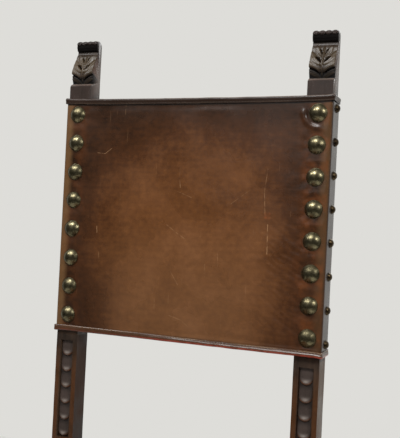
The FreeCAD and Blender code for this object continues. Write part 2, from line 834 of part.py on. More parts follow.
def main():
    os.makedirs("parts", exist_ok=True)
    for build in (build_posts, build_front_legs, build_seat_rails, build_corner_blocks,
                  build_front_stretcher, build_side_stretchers, build_rear_stretcher,
                  build_back_rails, build_back_webbing, build_back_padding, build_back_leathers,
                  build_bindings, nail_back, build_seat_webbing, build_seat_covers, nail_seat):
        build()
    for name, shape in twins.items():
        right, left = both_sides([shape.cut(holes[name])])
        export("right_" + name, right)
        export("left_" + name, left)
    for name, shape in centred.items():
        whole, other_half = both_sides([shape])
        whole = whole.fuse(other_half).removeSplitter()
        if name in holes:
            whole = whole.cut(both_sides(holes[name]))
        export(name, whole)
    for name, solids in groups.items():
        if name in holes:
            solids = [solid.cut(both_sides(holes[name])) for solid in solids]
        export(name, Part.makeCompound(solids))


main()
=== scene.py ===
import math
import random

import bmesh
import bpy
from mathutils import Matrix, Vector, noise


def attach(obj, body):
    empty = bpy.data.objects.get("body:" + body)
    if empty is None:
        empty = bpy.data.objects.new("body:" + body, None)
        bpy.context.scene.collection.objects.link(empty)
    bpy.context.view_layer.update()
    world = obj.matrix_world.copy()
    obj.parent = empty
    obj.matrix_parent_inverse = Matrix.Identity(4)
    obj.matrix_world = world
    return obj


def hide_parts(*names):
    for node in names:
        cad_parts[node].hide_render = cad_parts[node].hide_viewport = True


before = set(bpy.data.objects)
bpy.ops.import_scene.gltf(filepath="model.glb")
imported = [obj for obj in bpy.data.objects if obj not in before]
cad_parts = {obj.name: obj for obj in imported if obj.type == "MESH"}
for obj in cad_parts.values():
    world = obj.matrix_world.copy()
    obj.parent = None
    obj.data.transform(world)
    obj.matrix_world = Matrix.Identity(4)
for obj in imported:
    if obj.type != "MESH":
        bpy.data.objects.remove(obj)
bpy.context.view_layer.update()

# Lengths are millimetres until a piece is finished, and the names are those of the CAD source.
# The back is modelled upright from the bend in its posts, with its front face at Y 0, then leaned.

post_width = 41.0
post_depth = 33.0
leg_depth = 38.0
post_x = 214.0
inner_x = 193.5
outer_x = 234.5
seat_depth = 400.0
seat_frame_height = 442.0
bend_height = 455.0
rake_height = 360.0
rake_reach = 24.0
recline = math.radians(7.3)

panel_bottom = 236.0
panel_top = 638.5
panel_middle = (panel_bottom + panel_top) / 2
leather = 2.5
rear_leather = 2.0
binding_height = 10.0
binding = 1.5
back_crown = 7.0

finial_block = 25.5
finial_chamfer = 4.0
leaf_setback = 8.0
belly = (4.5, 40.7)
shoulder = (9.5, 58.6)
neck = (16.0, 70.6)
scroll_radius = 9.5
scroll_neck_share = 0.37
finial_height = 103.5

channel_width = 23.6
channel_depth = 4.5
scale_pitch = 27.8
scale_inset = 0.7
scale_high = 0.7
post_channel_top = panel_bottom - 17
post_scales = 6

front_leg = 41.0
leg_x = 214.0
leg_inner_x = 193.5
rail_height = 70.0
rail_thickness = 22.0
rail_bottom = seat_frame_height - rail_height

front_board_bottom = 180.0
front_board_height = 82.0
front_board_setback = 8.0
stretcher_thickness = 20.0
side_bar = (96.0, 130.0)
rear_bar = (196.0, 230.0)
roundel_radius = 19.0
boss_radius = 11.0
boss_height = 5.0

tenon_thickness = 10.0
tenon_length = 22.0
tenon_shoulder = 8.0

dome_radius = 14.5
dome_height = 8.5
dome_shank = (1.5, 16.0)
stud_radius = 7.4
stud_height = 5.4
stud_shank = (1.0, 14.0)
back_dome_pitch = 49.4
side_stud_pitch = 52.2
side_stud_setback = 20.0
rear_stud_inset = 20.5
seat_nail_drop = 21.0
seat_skirt = 46.0
stitch_line = 7.6
hidden_foot = 10.5

lean_sin, lean_cos = math.sin(recline), math.cos(recline)
scroll_y = post_depth - scroll_radius
scroll_t = finial_height - scroll_radius
rear_reach = scroll_y * lean_cos + (panel_top + scroll_t) * lean_sin + scroll_radius
post_front = (leather + dome_height + seat_depth - rear_reach) / 2
leg_front = post_front - seat_depth
leg_back = leg_front + front_leg
rear_rail_front = post_front + 8
rear_rail_back = rear_rail_front + rail_thickness

RIGHT, BACK, FRONT, UP, DOWN = (Vector(v) for v in ((1, 0, 0), (0, 1, 0), (0, -1, 0), (0, 0, 1), (0, 0, -1)))
UPRIGHT = Matrix.Identity(4)
LEAN = Matrix.Translation((0, post_front, bend_height)) @ Matrix.Rotation(-recline, 4, "X")
UNLEAN = LEAN.inverted()


# Materials


def linear(colour):
    """An sRGB hex colour as the linear values that a shader takes."""
    parts = [int(colour[i:i + 2], 16) / 255 for i in (0, 2, 4)]
    return [c / 12.92 if c < 0.04045 else ((c + 0.055) / 1.055) ** 2.4 for c in parts] + [1]


def add(tree, kind, inputs=(), stops=(), **settings):
    """A node with its settings. Its inputs are values, nodes or sockets, told by name or as a list in their order.
    Stops are the places and hex colours of a colour ramp."""
    made = tree.nodes.new("ShaderNode" + kind)
    for name, value in settings.items():
        setattr(made, name, value)
    for _ in stops[2:]:
        made.color_ramp.elements.new(0.5)
    for i, (place, colour) in enumerate(stops):
        made.color_ramp.elements[i].position = place
        made.color_ramp.elements[i].color = linear(colour)
    for name, value in inputs.items() if isinstance(inputs, dict) else enumerate(inputs):
        named = isinstance(inputs, dict)
        socket = next(s for s in made.inputs if s.enabled and s.name == name) if named else made.inputs[name]
        if isinstance(value, bpy.types.Node):
            value = next(s for s in value.outputs if s.enabled)
        if isinstance(value, bpy.types.NodeSocket):
            tree.links.new(value, socket)
        else:
            socket.default_value = value
    return made


# Settings that many nodes share. An eased MapRange takes a value, the two places it goes between and what it
# gives there, which is 0 and 1 if it isn't told.
EASED = {"interpolation_type": "SMOOTHSTEP"}
TIMES = {"operation": "MULTIPLY"}
TIMES_PLUS = {"operation": "MULTIPLY_ADD"}
GREATER = {"operation": "MAXIMUM"}
COLOURS = {"data_type": "RGBA"}


def surface(name):
    """An empty material and its tree."""
    made = bpy.data.materials.new(name)
    made.use_nodes = True
    made.node_tree.nodes.clear()
    return made, made.node_tree


def finish(made, **inputs):
    """Gives a material its one shader."""
    shader = add(made.node_tree, "BsdfPrincipled", {name.replace("_", " "): value for name, value in inputs.items()})
    add(made.node_tree, "OutputMaterial", {"Surface": shader})
    return made


def carved_wood(name, stops, bare, roughness, figure, warm="4C2806", ior=1.4):
    """Dark stained walnut, waxed and rubbed: fine streaks of grain, open pores, paler worn edges and hollows
    darkened by dust and painted shade. The grain attribute runs along Z, in metres, and the rubbed one holds wear,
    with painted highlights in places, warmth, and dust with painted shade. Figure is how strongly the streaks show."""
    made, tree = surface(name)
    grain = add(tree, "Attribute", attribute_name="grain").outputs["Vector"]
    rubbed = add(tree, "SeparateColor", [add(tree, "Attribute", attribute_name="rubbed").outputs["Color"]]).outputs
    # Streaks 4 mm wide and 70 mm long, pores 0.6 mm wide and 8 mm long, stain that drifts over 50 mm
    streaks = add(tree, "TexNoise", {"Vector": add(tree, "Mapping", {"Vector": grain, "Scale": (250, 250, 14)}),
                                     "Scale": 1.0, "Detail": 6.0, "Roughness": 0.6, "Distortion": 0.4})
    pores = add(tree, "TexNoise", {"Vector": add(tree, "Mapping", {"Vector": grain, "Scale": (1600, 1600, 120)}),
                                   "Scale": 1.0, "Detail": 3.0, "Roughness": 0.7})
    drift = add(tree, "TexNoise", {"Vector": grain, "Scale": 20.0, "Detail": 4.0, "Roughness": 0.6})
    tone = add(tree, "Math", [streaks, figure, drift], **TIMES_PLUS)
    plain = add(tree, "ValToRGB", {"Fac": add(tree, "Math", [tone, figure / 2], operation="SUBTRACT")}, stops=stops)
    warmth = add(tree, "Math", [rubbed["Green"], add(tree, "MapRange", [drift, 0.3, 0.55, 0.35], **EASED)], **TIMES)
    warmed = add(tree, "Mix", {"Factor": warmth, "A": plain, "B": linear(warm)}, **COLOURS)
    wear = add(tree, "Math", [rubbed["Red"], add(tree, "MapRange", [streaks, 0.36, 0.56, 1 - figure], **EASED)],
               **TIMES)
    worn = add(tree, "Mix", {"Factor": wear, "A": warmed, "B": linear(bare)}, **COLOURS)
    # Towards near black by the third mark: dust, and painted shade in hollows and under overhangs
    dusty = add(tree, "Mix", {"Factor": rubbed["Blue"], "A": worn, "B": linear("0B0706")}, **COLOURS)
    dark_pores = add(tree, "ValToRGB", {"Fac": pores}, stops=((0.33, "3C3C3C"), (0.47, "FFFFFF")))
    pored = add(tree, "Mix", {"Factor": figure, "A": dusty, "B": dark_pores}, **COLOURS, blend_type="MULTIPLY")
    relief = add(tree, "Math", [pores, 0.35, streaks], **TIMES_PLUS)
    rough = add(tree, "MapRange", [drift, 0.3, 0.7, roughness - 0.1, roughness + 0.12], **EASED)
    matt = add(tree, "Math", [rubbed["Blue"], 0.4, rough], **TIMES_PLUS)
    return finish(made, Base_Color=pored, Roughness=matt, IOR=ior,
                  Normal=add(tree, "Bump", {"Strength": 0.5, "Distance": 0.0006, "Height": relief}))


def hide(name, stops, half, marks=(), roughness=0.28, fold=None, scuff=None):
    """Vegetable-tanned hide, dyed brown, waxed and polished by use: mottled dye, darker grime towards its edges,
    fine pebbled grain, creases and pale dry scratches. Reads the hide UV map, in metres from the middle."""
    made, tree = surface(name)
    flat = add(tree, "UVMap", uv_map="hide")
    parts = add(tree, "SeparateXYZ", [flat]).outputs
    # Clouds of dye 90 mm across, mottling of 9 mm, rubbed streaks 60 mm long, grain cells of 1.3 mm
    clouds = add(tree, "TexNoise", {"Vector": flat, "Scale": 11.0, "Detail": 4.0, "Roughness": 0.5})
    mottle = add(tree, "TexNoise", {"Vector": flat, "Scale": 110.0, "Detail": 5.0, "Roughness": 0.5})
    streaks = add(tree, "TexNoise", {"Vector": add(tree, "Mapping", {"Vector": flat, "Scale": (16, 170, 1)}),
                                     "Scale": 1.0, "Detail": 4.0, "Roughness": 0.5})
    pebble = add(tree, "TexVoronoi", {"Vector": flat, "Scale": 760.0}, feature="DISTANCE_TO_EDGE")
    creased = add(tree, "Mapping", {"Vector": flat, "Rotation": (0, 0, 0.45), "Scale": (35, 190, 1)})
    creases = add(tree, "TexNoise", {"Vector": creased, "Scale": 1.0, "Detail": 3.0})
    # How far out a place is, as a share of the way to the hide's edge: it is darker there, and in the creases
    out_x = add(tree, "Math", [add(tree, "Math", [parts["X"], half[0]], operation="DIVIDE")],
                operation="ABSOLUTE")
    round_x = add(tree, "Math", [out_x, 2.0], operation="POWER")
    up = add(tree, "Math", [parts["Y"], 0.7 / half[1], 0.3], **TIMES_PLUS)
    away = add(tree, "Math", [up, up, round_x], **TIMES_PLUS)
    tone = 0.275
    outer = add(tree, "MapRange", [away, 0.0, 1.2], **EASED)
    for part, share in ((clouds, 0.32), (mottle, 0.18), (streaks, 0.09), (outer, -0.225)):
        tone = add(tree, "Math", [part, share, tone], **TIMES_PLUS)
    # Painted light: the lower middle is lighter, less so out towards the sides
    lit_low = add(tree, "Math", [add(tree, "MapRange", [parts["Y"], half[1] * 0.2, half[1] * -0.8], **EASED),
                                 add(tree, "MapRange", [out_x, 0.8, 0.3, 0.0, 0.06], **EASED)], **TIMES)
    tone = add(tree, "Math", [tone, lit_low])
    # A lighter patch at the upper right is a painted sheen, and a patch at the lower left is darker
    for x, y, lighter in ((0.5, 0.55, 0.07), (-0.68, -0.72, -0.07)):
        far = add(tree, "VectorMath", [flat, (half[0] * x, half[1] * y, 0)], operation="DISTANCE")
        tone = add(tree, "Math", [tone, add(tree, "MapRange", [far, 0.09, 0.02, 0.0, lighter], **EASED)])
    dyed = add(tree, "ValToRGB", {"Fac": tone}, stops=stops)
    # A pale film is painted over the lighter lower middle: a painted sheen
    painted_sheen = add(tree, "Math", [lit_low, 2.4], **TIMES)
    dyed = add(tree, "Mix", {"Factor": painted_sheen, "A": dyed, "B": linear("7D6A55")}, **COLOURS)
    top = add(tree, "MapRange", [parts["Y"], half[1] * 0.68, half[1], 0.0, 0.65], **EASED)
    sides = add(tree, "Math", [add(tree, "MapRange", [out_x, 0.66, 0.86], **EASED),
                               add(tree, "MapRange", [out_x, 0.97, 0.9], **EASED)], **TIMES)
    sides = add(tree, "Math", [sides, add(tree, "MapRange", [parts["X"], -0.1, 0.1, 0.4, 0.14], **EASED)], **TIMES)
    grime = add(tree, "Math", [top, sides], **GREATER)
    low = add(tree, "MapRange", [parts["Y"], half[1] * -0.93, half[1] * -1.02], **EASED)
    grime = add(tree, "Math", [grime, low], **GREATER)
    grime = add(tree, "Math", [grime, add(tree, "MapRange", [clouds, 0.3, 0.6, 0.6], **EASED)], **TIMES)
    grimy = add(tree, "Mix", {"Factor": grime, "A": dyed, "B": linear("26180F")}, **COLOURS)
    # Fingers have rubbed its front margins to a lighter tan, and its turned sides have gone dull and dark
    tan = add(tree, "Math", [add(tree, "MapRange", [out_x, 0.92, 0.97], **EASED),
                             add(tree, "MapRange", [out_x, 1.01, 0.995], **EASED)], **TIMES)
    tan = add(tree, "Math", [tan, add(tree, "MapRange", [parts["X"], -0.1, 0.1, 0.95, 0.5], **EASED)], **TIMES)
    kept = add(tree, "Math", [add(tree, "MapRange", [parts["Y"], half[1] * -0.7, 0.0, 0.5], **EASED),
                              add(tree, "MapRange", [parts["X"], 0.1, -0.1], **EASED)], **GREATER)
    tan = add(tree, "Math", [tan, kept], **TIMES)
    colour = add(tree, "Mix", {"Factor": tan, "A": grimy, "B": linear("664A2E")}, **COLOURS)
    colour = add(tree, "Mix", {"Factor": add(tree, "MapRange", [out_x, 1.0, 1.02, 0.0, 0.8], **EASED), "A": colour,
                               "B": linear("2B2521")}, **COLOURS)
    # Between the nails the dye has gone in patches, down to the orange of the tanning
    worn = add(tree, "TexNoise", {"Vector": flat, "Scale": 42.0, "Detail": 3.0})
    worn = add(tree, "Math", [add(tree, "MapRange", [worn, 0.4, 0.7], **EASED),
                              add(tree, "MapRange", [out_x, 0.76, 0.86], **EASED)], **TIMES)
    worn = add(tree, "Math", [worn, add(tree, "MapRange", [parts["X"], -0.1, 0.1, 0.22, 0.5], **EASED)], **TIMES)
    worn = add(tree, "Math", [worn, add(tree, "MapRange", [out_x, 1.0, 0.985], **EASED)], **TIMES)
    colour = add(tree, "Mix", {"Factor": worn, "A": colour, "B": linear("74401C")}, **COLOURS)
    # Painted shadow: a near-black line just below the top edge, where the upper hem overlaps
    tucked = add(tree, "MapRange", [parts["Y"], half[1] * 0.938, half[1] * 0.956], **EASED)
    colour = add(tree, "Mix", {"Factor": tucked, "A": colour, "B": linear("0E0A07")}, **COLOURS)
    if fold:
        # Across a hem: its rubbed fold, which reaches so far from the closed side, and a pale cracked line at
        # its stitches
        reach, rubbed, sewn = fold
        from_fold = add(tree, "Math", [parts["Y"]], operation="ABSOLUTE")
        chafed = add(tree, "Math", [add(tree, "MapRange", [from_fold, reach, reach * 0.3], **EASED),
                                    add(tree, "MapRange", [mottle, 0.3, 0.55, 0.3], **EASED)], **TIMES)
        chafed = add(tree, "Math", [chafed, add(tree, "MapRange", [parts["X"], -0.15, 0.0, 0.2], **EASED)], **TIMES)
        colour = add(tree, "Mix", {"Factor": chafed, "A": dyed, "B": linear(rubbed)}, **COLOURS)
        seam = add(tree, "Math", [parts["Y"], 0.0083], operation="SUBTRACT")
        seam = add(tree, "MapRange", [add(tree, "Math", [seam], operation="ABSOLUTE"), 0.0009, 0.0], **EASED)
        seam = add(tree, "Math", [seam, add(tree, "MapRange", [streaks, 0.38, 0.52, 0.0, sewn], **EASED)], **TIMES)
        colour = add(tree, "Mix", {"Factor": seam, "A": colour, "B": linear("947655")}, **COLOURS)
    scratched = 0.0
    for (x0, y0), (x1, y1), width, strength in marks:
        # Distance to the scratch's line, in metres
        run = Vector((x1 - x0, y1 - y0, 0))
        rel = add(tree, "VectorMath", [flat, (x0, y0, 0)], operation="SUBTRACT")
        along = add(tree, "VectorMath", [rel, run / run.length_squared], operation="DOT_PRODUCT")
        step = add(tree, "VectorMath", {"Vector": run, "Scale": add(tree, "Clamp", [along])}, operation="SCALE")
        far = add(tree, "VectorMath", [rel, step], operation="DISTANCE")
        line = add(tree, "MapRange", [far, width, 0.0, 0.0, strength], **EASED)
        scratched = add(tree, "Math", [scratched, line], **GREATER)
    hair = add(tree, "Mapping", {"Vector": flat, "Rotation": (0, 0, 1.1), "Scale": (700, 14, 1)})
    hairlines = add(tree, "TexNoise", {"Vector": hair, "Scale": 1.0, "Detail": 1.0})
    scratched = add(tree, "Math", [scratched, add(tree, "MapRange", [hairlines, 0.74, 0.8, 0.0, 0.3], **EASED)],
                    **GREATER)
    patchy = add(tree, "Math", [scratched, add(tree, "MapRange", [mottle, 0.4, 0.55, 0.15], **EASED)], **TIMES)
    colour = add(tree, "Mix", {"Factor": patchy, "A": colour, "B": linear("B58C62")}, **COLOURS)
    if scuff:
        # A place where the dye is rubbed through to the orange hide below
        x, y, radius = scuff
        far = add(tree, "VectorMath", [flat, (x, y, 0)], operation="DISTANCE")
        through = add(tree, "Math", [add(tree, "MapRange", [far, radius, radius * 0.2, 0.0, 0.75], **EASED),
                                     add(tree, "MapRange", [mottle, 0.4, 0.55, 0.2], **EASED)], **TIMES)
        colour = add(tree, "Mix", {"Factor": through, "A": colour, "B": linear("8F4A20")}, **COLOURS)
    relief = add(tree, "Math", [mottle, 0.12, add(tree, "Math", [pebble, 0.4], **TIMES)], **TIMES_PLUS)
    relief = add(tree, "Math", [creases, add(tree, "MapRange", [out_x, 0.4, 0.85, 0.04, 0.8], **EASED), relief],
                 **TIMES_PLUS)
    rough = add(tree, "MapRange", [clouds, 0.3, 0.7, roughness - 0.06, roughness + 0.08], **EASED)
    rough = add(tree, "Math", [patchy, 0.3, rough], **TIMES_PLUS)
    return finish(made, Base_Color=colour, Roughness=rough, IOR=1.45, Coat_Weight=0.12, Coat_Roughness=0.15,
                  Normal=add(tree, "Bump", {"Strength": 0.4, "Distance": 0.0005, "Height": relief}))


def patinated_brass(name, bright, dull, roughness):
    """Cast and polished brass gone olive with age: brighter where cloths reach it, brown in its pits."""
    made, tree = surface(name)
    place = add(tree, "TexCoord").outputs["Object"]
    # Patches of patina 12 mm across, specks of 1.5 mm
    patches = add(tree, "TexNoise", {"Vector": place, "Scale": 85.0, "Detail": 6.0, "Roughness": 0.65})
    specks = add(tree, "TexNoise", {"Vector": place, "Scale": 650.0, "Detail": 4.0, "Roughness": 0.7})
    tone = add(tree, "Math", [specks, 0.5, patches], **TIMES_PLUS)
    return finish(made, Base_Color=add(tree, "ValToRGB", {"Fac": tone}, stops=((0.55, dull), (0.8, bright))),
                  Metallic=1.0,
                  Roughness=add(tree, "MapRange", [tone, 0.5, 0.95, roughness + 0.16, roughness - 0.06], **EASED),
                  Normal=add(tree, "Bump", {"Strength": 0.3, "Distance": 0.0003, "Height": specks}))


def woven(name, warp, weft, pitch, shade):
    """Plain-woven coarse cloth: threads that cross over and under, a pitch in millimetres apart, slubbed and
    dusty. Reads the cloth UV map, in metres. Jute and canvas scatter light, so they are rough with some sheen."""
    made, tree = surface(name)
    flat = add(tree, "UVMap", uv_map="cloth")
    # A wave texture's bands are a twentieth of its scale's inverse apart, in turns of two pi
    turns = 1000 / pitch
    along, across = (add(tree, "TexWave", {"Vector": flat, "Scale": turns * math.pi / 20, "Distortion": 1.0,
                                           "Detail": 2.0, "Detail Scale": 2.0}, bands_direction=axis).outputs["Fac"]
                     for axis in "XY")
    checks = add(tree, "TexChecker", {"Vector": flat, "Scale": turns}).outputs["Fac"]
    over = add(tree, "Mix", {"Factor": checks, "A": along, "B": across})
    dirt = add(tree, "TexNoise", {"Vector": flat, "Scale": 30.0, "Detail": 6.0, "Roughness": 0.7})
    thread = add(tree, "Mix", {"Factor": checks, "A": linear(warp), "B": linear(weft)}, **COLOURS)
    lit = add(tree, "Mix", {"Factor": over, "A": linear(shade), "B": thread}, **COLOURS)
    dust = add(tree, "ValToRGB", {"Fac": dirt}, stops=((0.3, "6E6253"), (0.7, "FFFFFF")))
    dusty = add(tree, "Mix", {"Factor": 0.5, "A": lit, "B": dust}, **COLOURS, blend_type="MULTIPLY")
    return finish(made, Base_Color=dusty, Roughness=0.9, IOR=1.45, Sheen_Weight=0.25, Sheen_Roughness=0.5,
                  Normal=add(tree, "Bump", {"Strength": 0.6, "Distance": 0.0006, "Height": over}))


def plain_finish(name, stops, roughness, scale, stretch=(1, 1, 1), depth=0.0003, metal=0.0):
    """A finish on Object coordinates: noise of a scale per metre, drawn out along one axis, through a ramp."""
    made, tree = surface(name)
    place = add(tree, "Mapping", {"Vector": add(tree, "TexCoord").outputs["Object"], "Scale": stretch})
    fibres = add(tree, "TexNoise", {"Vector": place, "Scale": scale, "Detail": 7.0, "Roughness": 0.65})
    return finish(made, Base_Color=add(tree, "ValToRGB", {"Fac": fibres}, stops=stops), Metallic=metal,
                  Roughness=add(tree, "MapRange", [fibres, 0.3, 0.7, roughness - 0.08, roughness + 0.1], **EASED),
                  Normal=add(tree, "Bump", {"Strength": 0.5, "Distance": depth, "Height": fibres}))


# Places from the middle of the back, in metres: two ends, half width and strength of each scratch
BACK_MARKS = (
    ((-0.170, 0.107), (-0.155, 0.106), 0.0006, 0.5),
    ((-0.155, 0.106), (-0.142, 0.115), 0.0006, 0.55),
    ((0.1385, 0.085), (0.1345, 0.050), 0.0006, 0.4),
    ((0.1345, 0.050), (0.1375, 0.012), 0.0007, 0.45),
    ((0.1425, -0.002), (0.1435, -0.048), 0.0010, 0.55),
    ((-0.011, 0.064), (-0.009, 0.052), 0.0009, 0.6),
    ((-0.016, 0.046), (0.012, 0.036), 0.0006, 0.35),
    ((-0.164, -0.018), (-0.163, -0.029), 0.0009, 0.6),
    ((-0.158, -0.062), (-0.157, -0.074), 0.0006, 0.45),
    ((-0.030, -0.010), (-0.012, -0.022), 0.0006, 0.4),
    ((-0.012, -0.022), (0.003, -0.031), 0.0006, 0.4),
    ((-0.020, -0.086), (-0.006, -0.107), 0.0006, 0.4),
    ((-0.020, -0.158), (0.002, -0.164), 0.0006, 0.4),
    ((0.002, -0.164), (0.018, -0.176), 0.0006, 0.45),
    ((0.040, -0.070), (0.041, -0.090), 0.0005, 0.35),
    ((0.080, 0.028), (0.112, 0.052), 0.0005, 0.3),
)
REAR_MARKS = (
    ((-0.110, 0.150), (-0.085, 0.118), 0.0007, 0.4),
    ((0.062, 0.020), (0.118, 0.034), 0.0006, 0.4),
    ((0.118, 0.034), (0.131, 0.052), 0.0006, 0.35),
    ((-0.045, -0.062), (-0.032, -0.128), 0.0008, 0.4),
    ((0.090, -0.120), (0.104, -0.117), 0.0010, 0.5),
    ((-0.160, -0.015), (-0.152, -0.026), 0.0010, 0.5),
)
walnut = carved_wood("waxed_walnut", ((0.2, "160E08"), (0.45, "2A1C11"), (0.62, "3B2819"), (0.85, "4F3725")),
                     "6A5746", 0.42, 0.4)
scale_walnut = carved_wood("polished_walnut_carving", ((0.2, "17100D"), (0.45, "281D19"), (0.7, "382A25")),
                           "80766F", 0.24, 0.12, warm="5A300E")
leaf_walnut = carved_wood("waxed_walnut_leaf", ((0.2, "17110B"), (0.45, "2B2016"), (0.7, "3F3023")),
                          "6E5E49", 0.38, 0.12, warm="44351B")
# Dull black dust and painted shade: the finials' deep hollows and the band under their scrolls
dust_and_shade_walnut = carved_wood("walnut_hollows_dust_and_painted_shade", ((0.2, "0E0A07"), (0.45, "17110D"), (0.7, "201813")),
                           "6E5F56", 0.5, 0.12, ior=1.22)
CARVING = (walnut, scale_walnut, leaf_walnut, dust_and_shade_walnut)
DYE = ((0.28, "25160C"), (0.44, "492A14"), (0.6, "6C4220"), (0.78, "8A5931"))
back_hide = hide("polished_hide_back", DYE, (0.2355, 0.2), BACK_MARKS, scuff=(0.141, 0.012, 0.008))
seat_hide = hide("polished_hide_seat", DYE, (0.285, 0.3))
upper_edge_hide = hide("folded_hide_top_edge", ((0.25, "110A06"), (0.5, "23150D"), (0.75, "362116")), (9, 9),
                       roughness=0.36, fold=(0.0016, "5E4C3E", 0.1))
lower_edge_hide = hide("folded_hide_bottom_edge", ((0.25, "1E120A"), (0.5, "3D2514"), (0.75, "573722")), (9, 9),
                       roughness=0.27, fold=(0.0046, "A04435", 0.4))
rear_hide = hide("flesh_side_hide", ((0.26, "2A1A12"), (0.44, "4A2F1F"), (0.6, "66452E"), (0.78, "80583B")),
                 (0.2355, 0.2), REAR_MARKS, 0.5)
brass = patinated_brass("antique_brass", "7D755A", "2F2B1F", 0.32)
# A darker copy of the brass for the small studs: painted shade
dark_brass = patinated_brass("brass_darkened_as_in_shade", "4A3E2C", "1C1611", 0.36)
jute = woven("woven_jute", "9A835A", "86704C", 3.0, "4A3C28")
canvas_cloth = woven("coarse_canvas", "8F7F63", "7F7056", 1.6, "4E4433")
# Curled hair felted into a pad: dark tangled fibres
horsehair = plain_finish("horsehair", ((0.3, "1E160F"), (0.55, "4D3B29"), (0.8, "7A6243")), 0.85, 500, depth=0.002)
# Sawn, unfinished hardwood gone tan with age, with saw marks across it
sawn_wood = plain_finish("sawn_hardwood", ((0.3, "5B4029"), (0.5, "7A5A3B"), (0.7, "927048")), 0.7, 260,
                         (0.1, 1, 1), 0.0005)
# Riven pegs show their end grain, darker than the post
peg_wood = plain_finish("stained_end_grain", ((0.3, "1A110B"), (0.6, "3B281B"), (0.8, "54392A")), 0.5, 1200)
# Blued steel: near-black oxide with brown where it has worn
steel = plain_finish("blued_steel", ((0.3, "15171B"), (0.6, "2B2D31"), (0.8, "4A3B30")), 0.42, 700, metal=1.0)
# Waxed linen thread, browned by dirt and paler where it is worn
thread = plain_finish("waxed_linen_thread", ((0.3, "2A1D13"), (0.6, "463524"), (0.8, "6B553B")), 0.6, 900)
pale_floor = plain_finish("pale_floor", ((0.3, "D2D1CD"), (0.7, "DCDBD7")), 0.8, 3, depth=0.0)


# Mesh tools


def piece(name, bm, materials, nodes, place=UPRIGHT, sharp=35, grain=None):
    """Finishes a mesh: puts it in place in metres, and says what it rides on, replaces and is painted as.
    Grain is the axis that a wooden piece's fibres run along."""
    if grain is not None:
        layer = bm.verts.layers.float_vector.new("grain")
        start = Vector([random.uniform(0, 3) for _ in range(3)])
        for vert in bm.verts:
            along = [vert.co[(grain + i) % 3] for i in (1, 2, 0)]
            vert[layer] = Vector(along) / 1000 + start
        # A new face's loops start white in this layer: those that nothing has marked are plain
        wear = bm.loops.layers.float_color.get("rubbed")
        for loop in (loop for face in bm.faces for loop in face.loops) if wear else ():
            if min(loop[wear]) > 0.99:
                loop[wear] = (0, 0, 0, 1)
    bmesh.ops.transform(bm, matrix=Matrix.Scale(0.001, 4) @ place, verts=bm.verts[:])
    mesh = as_mesh(bm, name)
    for material in materials if isinstance(materials, (list, tuple)) else [materials]:
        mesh.materials.append(material)
    mesh.shade_smooth()
    mesh.set_sharp_from_angle(angle=math.radians(sharp))
    made = bpy.data.objects.new(name, mesh)
    bpy.context.scene.collection.objects.link(made)
    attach(made, "root")
    if nodes:
        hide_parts(*nodes)
    return made


def as_mesh(bm, name):
    """A bmesh as a mesh. The bmesh ends here."""
    mesh = bpy.data.meshes.new(name)
    bm.to_mesh(mesh)
    bm.free()
    return mesh


def grid(bm, columns, rows):
    """The vertices of a sheet that runs from -1 to 1 across and up, to be put in their places."""
    return bmesh.ops.create_grid(bm, x_segments=columns, y_segments=rows, size=1)["verts"]


def faces_of(verts):
    """The faces that meet at these vertices."""
    return list({face for vert in verts for face in vert.link_faces})


def drawn_out(bm, geometry, keep=True):
    """The vertices at the far end of faces drawn out into a solid, before they are moved."""
    made = bmesh.ops.extrude_face_region(bm, geom=geometry, use_keep_orig=keep)["geom"]
    return [part for part in made if isinstance(part, bmesh.types.BMVert)]


def rounded(bm, edges, radius, segments):
    """The faces of a rounding along edges."""
    return bmesh.ops.bevel(bm, geom=edges, offset=radius, offset_type="OFFSET", segments=segments, profile=0.5,
                           affect="EDGES", material=-1, clamp_overlap=True)["faces"]


def wear_marks(bm):
    """The layer that holds wear, warmth and dust at the corners of faces."""
    return bm.loops.layers.float_color.get("rubbed") or bm.loops.layers.float_color.new("rubbed")


def bump(value, middle, width):
    """1 in the middle, and falling off smoothly over a width to both sides."""
    return math.exp(-((value - middle) / width) ** 2)


def lumps(x, y, size, start):
    """Unevenness between -1 and 1, in lumps of a size."""
    return noise.noise(Vector((x / size, y / size, start)))


def mirrored(place):
    """The same place on the other side of the chair."""
    return Matrix.Scale(-1, 4, RIGHT) @ place


def turned_out(bm):
    """Faces that point outwards again, after a spin or a mirror image."""
    bmesh.ops.recalc_face_normals(bm, faces=bm.faces[:])
    return bm


def facing(bm, direction):
    """Turns an open sheet so that its face farthest along a direction looks that way."""
    bmesh.ops.recalc_face_normals(bm, faces=bm.faces[:])
    bm.normal_update()
    probe = max(bm.faces, key=lambda face: face.calc_center_median().dot(direction))
    if probe.normal.dot(direction) < 0:
        bmesh.ops.reverse_faces(bm, faces=bm.faces[:])


def block(bm, x0, x1, y0, y1, z0, z1):
    """A box, in a mesh that may hold others."""
    middle = Matrix.Translation(((x0 + x1) / 2, (y0 + y1) / 2, (z0 + z1) / 2))
    size = Matrix.Diagonal((x1 - x0, y1 - y0, z1 - z0, 1))
    return bmesh.ops.create_cube(bm, size=1, matrix=middle @ size)["verts"]


def prism(points, sweep):
    """A flat outline swept into a solid."""
    bm = bmesh.new()
    face = bm.faces.new([bm.verts.new(p) for p in points])
    bmesh.ops.translate(bm, verts=drawn_out(bm, [face]), vec=sweep)
    return turned_out(bm)


def cut(bm, direction, places):
    """Edges where planes at places along a direction cross the mesh."""
    for place in places:
        geometry = bm.verts[:] + bm.edges[:] + bm.faces[:]
        bmesh.ops.bisect_plane(bm, geom=geometry, plane_co=direction * place, plane_no=direction, dist=0.001)


def steps(low, high, spacing):
    """Places between low and high, about a spacing apart, without the ends."""
    count = max(1, round((high - low) / spacing))
    return [low + (high - low) * i / count for i in range(1, count)]


